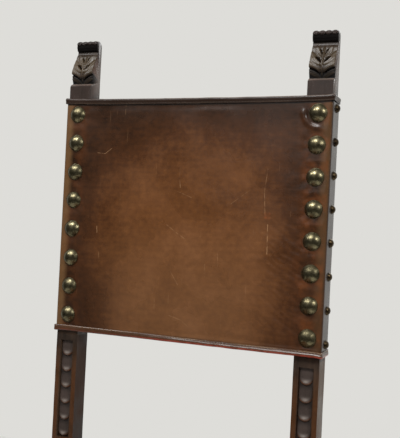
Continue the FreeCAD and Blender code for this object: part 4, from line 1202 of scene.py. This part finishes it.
def back_plan():
    """The leather's path seen from above, from the rear edge of one side to that of the other, with its outward
    direction and how far along the hide it is."""
    radius = 3.4
    wide = outer_x + leather
    right = [((wide, y), (1, 0)) for y in (post_depth, 28, 23, 18, 13, 8, 4)]
    centre = (wide - radius, radius - leather)
    for i in range(6):
        a = math.pi / 2 * i / 5
        out = (math.cos(a), -math.sin(a))
        right.append(((centre[0] + radius * out[0], centre[1] + radius * out[1]), out))
    right += [((x, -leather), (0, -1)) for x in evenly(92, wide - radius, 0)[1:]]
    left = [((-x, y), (-nx, ny)) for (x, y), (nx, ny) in reversed(right[:-1])]
    path = right + left
    distance = [0]
    for (a, _), (b, _) in zip(path, path[1:]):
        distance.append(distance[-1] + math.dist(a, b))
    middle = distance[-1] / 2
    return [(p, out, middle - d) for (p, out), d in zip(path, distance)]


def sag(x, z):
    """How far the leather's top edge hangs down between the posts."""
    return 1.9 * (1 - (x / (outer_x + 5)) ** 4) * smoothstep(600, panel_top - binding_height, z)


def build_back_leather():
    path = back_plan()
    z0, z1 = panel_bottom + binding, panel_top - binding
    rows = 150
    bm = bmesh.new()
    verts = grid(bm, len(path) - 1, rows)
    flat = {}
    for vert in verts:
        (x, y), out, along = path[round((vert.co.x + 1) / 2 * (len(path) - 1))]
        z = z0 + (z1 - z0) * (vert.co.y + 1) / 2
        rise = back_swell(x, z) * max(0, -out[1]) if out[1] < -0.2 else 0
        vert.co = (x + out[0] * rise, y + out[1] * rise, z - sag(x, z))
        flat[vert] = (along / 1000, (z - panel_middle) / 1000)
    mapped(bm, "hide", flat.get)
    facing(bm, FRONT)
    made = piece("back_leather", bm, back_hide, ["back_front_leather"], LEAN, sharp=60)
    thicken(made, leather - 0.15)


def thicken(made, thickness):
    """The thickness of a hide or cloth, behind its outer face."""
    solid = made.modifiers.new("thickness", "SOLIDIFY")
    solid.thickness = thickness / 1000
    solid.offset = -1
    solid.use_even_offset = True


def build_rear_leather():
    z0, z1 = panel_bottom + binding, panel_top - binding
    bm = bmesh.new()
    spots = [(s * post_x, z) for s in (1, -1) for z in REAR_NAIL_ROWS]
    spots += [(x, z) for x in REAR_NAIL_COLUMNS for z in (REAR_NAIL_ROWS[0], REAR_NAIL_ROWS[-1])]
    verts = grid(bm, 94, 80)
    flat = {}
    for vert in verts:
        x, z = vert.co.x * outer_x, panel_middle + vert.co.y * (z1 - z0) / 2
        nearest = min(math.dist((x, z), spot) for spot in spots)
        inside = smoothstep(0, 16, outer_x - abs(x)) * smoothstep(0, 16, (z1 - z0) / 2 - abs(z - panel_middle))
        rise = 1.4 * smoothstep(6, 60, nearest) + 0.5 * lumps(x, z, 40, 1.3)
        vert.co = (-x, post_depth + rear_leather + rise * inside, z - sag(x, z))
        flat[vert] = (x / 1000, (z - panel_middle) / 1000)
    mapped(bm, "hide", flat.get)
    facing(bm, BACK)
    made = piece("back_rear_leather_panel", bm, rear_hide, ["back_rear_leather"], LEAN)
    thicken(made, rear_leather - 0.1)


def lower_flare(x, down):
    """How far the lower hem is turned out, more to the right, where it shines: from its free edge, 10 mm from
    the fold, it turns out and comes upright again."""
    return 3.5 * (0.15 + 0.85 * smoothstep(-125, 110, x)) * smoothstep(10.5, 3.8, down)


def hem(name, node, low, high, fold, material):
    """A strip of hide folded over one edge of both leathers, closed over the gap between them and slit for the
    posts. Fold is 1 where its closed side is up."""
    wide, front, rear = outer_x + leather + binding, -leather - binding, post_depth + rear_leather + binding
    bm = bmesh.new()
    block(bm, -wide, wide, front, rear, low, high)
    bm.normal_update()
    open_side = [f for f in bm.faces if f.normal.z * fold < -0.9]
    bmesh.ops.delete(bm, geom=open_side, context="FACES_ONLY")
    lid = [f for f in bm.faces if f.normal.z * fold > 0.9][0]
    corners = [e for e in bm.edges if abs(e.verts[0].co.z - e.verts[1].co.z) > 1]
    rounded(bm, corners + list(lid.edges), 2.2, 4)
    gap = 0.25
    cut(bm, RIGHT, [s * x for s in (1, -1) for x in (inner_x - gap, outer_x + gap)])
    cut(bm, BACK, (-gap, post_depth + gap))
    cut(bm, RIGHT, steps(-wide + 4, wide - 4, 5.5))
    cut(bm, UP, [low + (high - low) * share for share in (0.12, 0.24, 0.36, 0.5, 0.64, 0.78)])
    bm.normal_update()
    slit = [f for f in bm.faces if abs(f.normal.z) > 0.9 and inner_x - gap < abs(f.calc_center_median().x) < outer_x
            and -gap < f.calc_center_median().y < post_depth + gap]
    bmesh.ops.delete(bm, geom=slit, context="FACES")
    flat = {}
    for vert in bm.verts:
        x, y, z = vert.co
        down = (high - z) if fold > 0 else (z - low)
        if abs(y - front) < 0.3 or abs(y - rear) < 0.3 or abs(abs(x) - wide) < 0.3:
            out = FRONT if abs(y - front) < 0.3 else BACK
            if abs(abs(x) - wide) < 0.3:
                out = Vector((math.copysign(1, x), 0, 0))
            # A rolled fold, a stitched groove and a lip at the free edge
            firm = 1 if fold > 0 else 0.35 + 0.65 * smoothstep(-60, 120, x)
            roll = 0.55 * firm * bump(down, 3.2, 2.2) - 0.5 * bump(down, stitch_line, 0.8)
            roll -= 0.5 * smoothstep(9.0, 10.0, down)
            wave = 0.35 * lumps(x, y, 16, z / 40)
            wave += 0.3 * lumps(x, y, 7, z / 5) * (fold < 0)
            vert.co += out * (roll + wave)
        vert.co += FRONT * lower_flare(x, down) * smoothstep(0, front, y) * (fold < 0)
        corner = bump(wide, abs(x), 7) * bump(y, front, 9)
        vert.co += Vector((math.copysign(0.9, x), -0.5, fold * 0.9)) * corner
        vert.co.z += 0.35 * noise.noise(Vector((x / 22, 5.5, fold))) - (sag(x, z) if fold > 0 else 0)
        inwards = max(0, min(y - front, rear - y, wide - abs(x)) - 0.3)
        flat[vert] = ((x + y) / 1000, (down if down > 2.5 else down - inwards) / 1000)
    mapped(bm, "hide", flat.get)
    facing(bm, FRONT)
    thicken(piece(name, bm, material, [node], LEAN, sharp=50), binding - 0.1)


def stitches(name, z):
    """A row of waxed stitches round a hem, 5 mm apart."""
    one = bmesh.new()
    bmesh.ops.create_uvsphere(one, u_segments=6, v_segments=4, radius=1)
    bmesh.ops.scale(one, verts=one.verts[:], vec=(1.75, 0.42, 0.42))
    mesh = as_mesh(one, name + "_one")
    front, wide = -leather - binding - 0.1, outer_x + leather + binding + 0.1
    rear = post_depth + rear_leather + binding + 0.1
    places = []
    for x in steps(-wide + 4, wide - 4, 5.0):
        for y in (front, rear):
            out = lower_flare(x, stitch_line) if y < 0 and z < panel_middle else 0
            spot = Vector((x, y - out, z - sag(x, z) + random.gauss(0, 0.12)))
            places.append(Matrix.Translation(spot) @ Matrix.Rotation(random.gauss(0, 0.07), 4, "Y"))
    for y in steps(0, post_depth, 5.0):
        for s in (1, -1):
            places.append(Matrix.Translation((s * wide, y, z)) @ Matrix.Rotation(math.pi / 2, 4, "Z"))
    bm = bmesh.new()
    placed_copies(bm, mesh, places)
    piece(name, bm, thread, [], LEAN)


def build_hems():
    hem("upper_hem", "upper_binding", panel_top - binding_height, panel_top, 1, upper_edge_hide)
    hem("lower_hem", "lower_binding", panel_bottom, panel_bottom + binding_height, -1, lower_edge_hide)
    stitches("upper_hem_stitches", panel_top - stitch_line)
    stitches("lower_hem_stitches", panel_bottom + stitch_line)


# Hidden layers of the back


def pad(name, node, x, z0, z1, flatten, place, front):
    """A felted hair pad: closed, crowned on one side and lumpy."""
    bm = bmesh.new()
    verts = grid(bm, 40, 40)
    for vert in verts:
        across, up = vert.co.x * x, (z0 + z1) / 2 + vert.co.y * (z1 - z0) / 2
        vert.co = front(across, up)
    for vert in drawn_out(bm, bm.faces[:]):
        flatten(vert)
    turned_out(bm)
    padded = piece(name, bm, horsehair, [node], place)


def build_back_layers():
    z0, z1 = panel_bottom + binding_height, panel_top - binding_height

    def front(x, z):
        return Vector((x, max(0.35 - back_swell(x, z) * 0.9, -back_crown * 0.9), z))

    def flatten(vert):
        vert.co.y = 2.4
    pad("back_hair_pad", "back_stuffing", inner_x - 1.2, z0 + 1, z1 - 1, flatten, LEAN, front)
    bm = bmesh.new()
    verts = grid(bm, 60, 60)
    flat = {}
    for vert in verts:
        x, z = vert.co.x * (inner_x - 0.5), panel_middle + vert.co.y * (z1 - z0) / 2
        vert.co = (x, 2.75 + 0.12 * lumps(x, z, 20, 0), z)
        flat[vert] = (x / 1000, z / 1000)
    mapped(bm, "cloth", flat.get)
    facing(bm, FRONT)
    made = piece("back_canvas_cloth", bm, canvas_cloth, ["back_canvas"], LEAN)
    thicken(made, 0.6)
    bm = bmesh.new()
    for x in around(0, 4, 2 * inner_x / 4):
        strap(bm, [(x, 5.2, panel_bottom + 6.5), (x, 5.2, panel_top - 6.5)], RIGHT * 50, BACK)
    piece("back_webbing_straps", bm, jute, ["back_webbing"], LEAN)


def strap(bm, points, width, thick_way):
    """A jute strap along a line of points at its middle."""
    length = [0]
    for a, b in zip(points, points[1:]):
        length.append(length[-1] + (Vector(b) - Vector(a)).length)
    rows = max(2, round(length[-1] / 4))
    verts = grid(bm, 6, rows)
    flat = {}
    for vert in verts:
        along = (vert.co.y + 1) / 2 * length[-1]
        i = max(j for j in range(len(length) - 1) if length[j] <= along + 1e-6)
        share = (along - length[i]) / max(1e-6, length[i + 1] - length[i])
        share = share * share * (3 - 2 * share)
        across = vert.co.x / 2
        flat[vert] = (across * width.length / 1000, along / 1000)
        vert.co = Vector(points[i]).lerp(Vector(points[i + 1]), share) + width * across - thick_way * 0.6
    faces = faces_of(verts)
    mapped(bm, "cloth", flat.get, faces)
    copies = drawn_out(bm, faces)
    bmesh.ops.translate(bm, verts=copies, vec=thick_way * 1.2)
    bmesh.ops.recalc_face_normals(bm, faces=faces_of(verts + copies))


# Seat


seat_half = outer_x + leather
seat_y0 = leg_front - leather
seat_y1 = rear_rail_back + leather
seat_notch_y = post_front - 0.3
seat_top = 457.35
seat_skirt_z = seat_frame_height - seat_skirt


def seat_crown(x, y):
    share = min(1, max(0, (y - seat_y0) / (seat_y1 - seat_y0)))
    return 15 * (0.3 + 0.7 * math.sin(math.pi * share)) * max(0, 1 - (x / (seat_half - 8)) ** 2)


def skirt_move(along, z, nail_row, out, share):
    """The skirt stands out where no nail holds it, and its lower edge is drawn up between them."""
    nearest = min(math.hypot(along - nail, z - seat_nail_z) for nail in nail_row)
    move = out * 1.2 * smoothstep(dome_radius - 2, dome_radius + 12, nearest) * share
    if z < seat_skirt_z + 1:
        move += UP * 1.5 * math.sin(math.pi * (along - nail_row[0]) / (nail_row[1] - nail_row[0])) ** 2
    return move


def build_seat_leather():
    plan = [(-seat_half, seat_y0), (seat_half, seat_y0), (seat_half, seat_notch_y), (inner_x - 0.3, seat_notch_y),
            (inner_x - 0.3, seat_y1), (0.3 - inner_x, seat_y1), (0.3 - inner_x, seat_notch_y),
            (-seat_half, seat_notch_y)]
    bm = prism([(x, y, seat_skirt_z) for x, y in plan], UP * (seat_top - seat_skirt_z))
    bm.normal_update()
    bmesh.ops.delete(bm, geom=[f for f in bm.faces if f.normal.z < -0.9], context="FACES_ONLY")
    top_edges = [e for e in bm.edges if all(abs(v.co.z - seat_top) < 0.1 for v in e.verts)]
    corners = [e for e in bm.edges if abs(e.verts[0].co.z - e.verts[1].co.z) > 1 and e.verts[0].co.y < seat_y0 + 1]
    rounded(bm, top_edges + corners, 8, 5)
    fold = 224.0
    cut(bm, RIGHT, steps(-228, 228, 6.5) + [s * (fold + d) for s in (1, -1) for d in (-2.4, -1.2, 0, 1.2, 2.4)])
    cut(bm, BACK, steps(seat_y0 + 9, seat_y1 - 9, 6.5))
    cut(bm, UP, steps(seat_skirt_z, seat_top - 9, 6.5))
    # Where the leather is slit for the posts it is only tucked in
    bm.normal_update()
    tucked = []
    for face in bm.faces:
        middle = face.calc_center_median()
        in_notch = abs(middle.x) > inner_x - 0.5 and middle.y > seat_notch_y - 0.5
        if in_notch and middle.z < seat_top - 15 and abs(face.normal.z) < 0.2:
            tucked.append(face)
    bmesh.ops.delete(bm, geom=tucked, context="FACES")
    flat = {}
    for vert in bm.verts:
        x, y, z = vert.co
        over = smoothstep(seat_top - 9, seat_top, z)
        rise = seat_crown(x, y) * over
        uneven = 1.3 * lumps(x, y, 80, 2.2) + 0.4 * lumps(x, y, 28, 9.1)
        rise += uneven * over
        move = Vector((0, 0, rise))
        if y < seat_y0 + 1.5:
            move += skirt_move(x, z, FRONT_COLUMNS, FRONT, 1 - over)
            move += BACK * 1.6 * bump(abs(x), fold, 1.3) * smoothstep(seat_skirt_z, seat_skirt_z + 9, z)
        elif abs(x) > seat_half - 1.5:
            move += skirt_move(y, z, SIDE_COLUMNS, RIGHT * math.copysign(1, x), 1 - over)
        vert.co += move
        down = seat_top - z
        middle_y = (seat_y0 + seat_y1) / 2
        turned = math.copysign(down, y - middle_y) if not seat_y0 + 9 < y < seat_y1 - 9 else 0
        aside = math.copysign(down, x) * (abs(x) > seat_half - 9)
        flat[vert] = (x / 1000, (y - middle_y + turned) / 1000), ((x + aside) / 1000, (y - middle_y) / 1000)
    # The hide is folded at the corners, so each side of it hangs straight down from the top
    layer = bm.loops.layers.uv.new("hide")
    bm.normal_update()
    for face in bm.faces:
        for loop in face.loops:
            loop[layer].uv = flat[loop.vert][abs(face.normal.x) > abs(face.normal.y)]
    facing(bm, UP)
    made = piece("seat_leather_cover", bm, seat_hide, ["seat_leather"], sharp=60)
    thicken(made, leather - 0.15)


def notched(x, y):
    """Keeps a place on the seat clear of the back posts."""
    if abs(x) > inner_x - 0.8 and y > post_front - 0.8:
        if abs(x) - inner_x < y - post_front:
            return math.copysign(inner_x - 0.8, x), y
        return x, post_front - 0.8
    return x, y


def build_seat_layers():
    y0, y1 = leg_front + 0.5, rear_rail_back - 0.5
    reach = outer_x - 0.5
    canvas_z = seat_frame_height + 2.45
    columns = around(0, 4, 2 * (outer_x - rail_thickness) / 4)
    rows = around((leg_back + post_front) / 2, 4, (post_front - leg_back) / 4)
    bm = bmesh.new()
    verts = grid(bm, 70, 66)
    flat = {}
    for vert in verts:
        x, y = notched(vert.co.x * reach, (y0 + y1) / 2 + vert.co.y * (y1 - y0) / 2)
        vert.co = (x, y, canvas_z + 0.5 + 0.15 * lumps(x, y, 25, 0))
        flat[vert] = (x / 1000, y / 1000)
    mapped(bm, "cloth", flat.get)
    facing(bm, UP)
    made = piece("seat_canvas_cloth", bm, canvas_cloth, ["seat_canvas"])
    thicken(made, 0.7)

    def front(x, up):
        x, y = notched(x, up)
        edge = smoothstep(0, 14, min(reach - abs(x), y - y0, y1 - y))
        return Vector((x, y, canvas_z + 2.2 + edge * (6.5 + seat_crown(x, y) * 0.9 + 1.2 * lumps(x, y, 30, 4))))

    def flatten(vert):
        vert.co.z = canvas_z + 1.3
    pad("seat_hair_pad", "seat_stuffing", reach - 0.8, y0 + 0.8, y1 - 0.8, flatten, UPRIGHT, front)
    middle_z = seat_frame_height + 0.75
    for name, node, crossings, own, is_long in (
            ("seat_webbing_straps_long", "seat_webbing_long", rows, columns, True),
            ("seat_webbing_straps_cross", "seat_webbing_cross", columns, rows, False)):
        bm = bmesh.new()
        ends = (leg_front + 4.5, rear_rail_back - 4.5) if is_long else (4.5 - outer_x, outer_x - 4.5)
        inner = (leg_front + rail_thickness, rear_rail_front) if is_long else (rail_thickness - outer_x,
                                                                              outer_x - rail_thickness)
        for i, place in enumerate(own):
            side = (1 if i % 2 else -1) * (1 if is_long else -1)
            path = [(ends[0], 0), (inner[0], 0)]
            for crossing in crossings:
                path += [(crossing - 25.5, side), (crossing + 25.5, side)]
                side = -side
            path += [(inner[1], 0), (ends[1], 0)]
            points = [(place, a, middle_z + 0.85 * h) if is_long else (a, place, middle_z + 0.85 * h) for a, h in path]
            strap(bm, points, (RIGHT if is_long else BACK) * 50, UP)
        piece(name, bm, jute, [node])


for build in (build_posts, build_front_legs, build_rails, build_side_stretchers, build_rear_stretcher,
              build_front_stretcher, build_back_leather, build_rear_leather, build_hems, build_back_layers,
              build_seat_leather, build_seat_layers, build_nails, build_pegs):
    random.seed(build.__name__)
    build()

# The CAD nodes that stay, in their own finishes
corner_blocks = [side + end + "_corner_block" for side in ("left_", "right_") for end in ("front", "rear")]
for look, kept in ((sawn_wood, ["upper_back_rail", "lower_back_rail"] + corner_blocks),
                   (steel, ["seat_webbing_tacks", "back_webbing_tacks", "corner_block_screws"])):
    for node in kept:
        node_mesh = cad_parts[node].data
        node_mesh.materials.clear()
        node_mesh.materials.append(look)


# Floor, light and camera


floor = bmesh.new()
bmesh.ops.create_grid(floor, x_segments=1, y_segments=1, size=1.2)
floor_mesh = as_mesh(floor, "studio_floor")
floor_mesh.materials.append(pale_floor)
studio_floor = bpy.data.objects.new("studio_floor", floor_mesh)
bpy.context.scene.collection.objects.link(studio_floor)


def soft_light(name, place, target, size, power):
    """A large square lamp."""
    lamp = bpy.data.lights.new(name, "AREA")
    lamp.shape = "SQUARE"
    lamp.size = size
    lamp.energy = power
    made = bpy.data.objects.new(name, lamp)
    made.location = place
    made.rotation_mode = "QUATERNION"
    made.rotation_quaternion = (Vector(target) - Vector(place)).to_track_quat("-Z", "Y")
    bpy.context.scene.collection.objects.link(made)


soft_light("window_high", (-0.45, -1.15, 3.2), (0, 0.1, 0.8), 0.9, 47)
soft_light("window_right", (1.95, -0.6, 2.1), (0, 0.1, 0.8), 0.6, 18)
soft_light("window_left", (-1.7, -0.9, 2.9), (0, 0.1, 0.8), 0.6, 17)
soft_light("window_front", (-0.35, -1.9, 1.75), (0, 0.1, 0.8), 0.6, 0.9)
soft_light("rear_fill", (0.4, 2.4, 2.2), (0, 0, 0.6), 1.4, 16)

world = bpy.data.worlds.new("pale_room")
world.use_nodes = True
bpy.context.scene.world = world
tree = world.node_tree
tree.nodes.clear()
path_of = add(tree, "LightPath").outputs
seen = add(tree, "Math", [path_of["Is Camera Ray"], path_of["Is Transmission Ray"]], **GREATER)
shown = add(tree, "Math", [seen, path_of["Is Glossy Ray"]], **GREATER)
# Reflections show the pale backdrop behind the chair and, in front of it, the dim room that the lamps stand in
heading = add(tree, "SeparateXYZ", [add(tree, "TexCoord").outputs["Generated"]]).outputs
reflected = add(tree, "Math", [add(tree, "MapRange", [heading["Y"], -0.25, 0.45], **EASED),
                               add(tree, "MapRange", [heading["Z"], 0.3, 1, 0, 0.45], **EASED)], **GREATER)
pale = add(tree, "Math", [seen, reflected], **GREATER)
colour = add(tree, "Mix", {"Factor": pale, "A": linear("3E3D3B"), "B": linear("DEDDD9")}, **COLOURS)
backdrop = add(tree, "Background", {"Color": colour, "Strength": 1.0})
light_level = add(tree, "Background", {"Color": linear("F2F2F0"),
                                       "Strength": add(tree, "MapRange", [heading["Z"], -0.6, 0.6, 0.4, 0.6], **EASED)})
mixed = add(tree, "MixShader", [shown, light_level, backdrop])
add(tree, "OutputWorld", {"Surface": mixed})

# The camera stands where the photograph's perspective puts it, turned and tipped by these degrees
camera_data = bpy.data.cameras.new("camera")
camera_data.lens = 68.3
camera_data.sensor_width = 36
camera = bpy.data.objects.new("camera", camera_data)
camera.location = (0.5563, -1.0322, 1.0355)
camera.rotation_euler = (math.radians(90 - 6.165), 0, math.radians(23.357))
bpy.context.scene.collection.objects.link(camera)
bpy.context.scene.camera = camera

bpy.context.scene.view_settings.view_transform = "Standard"
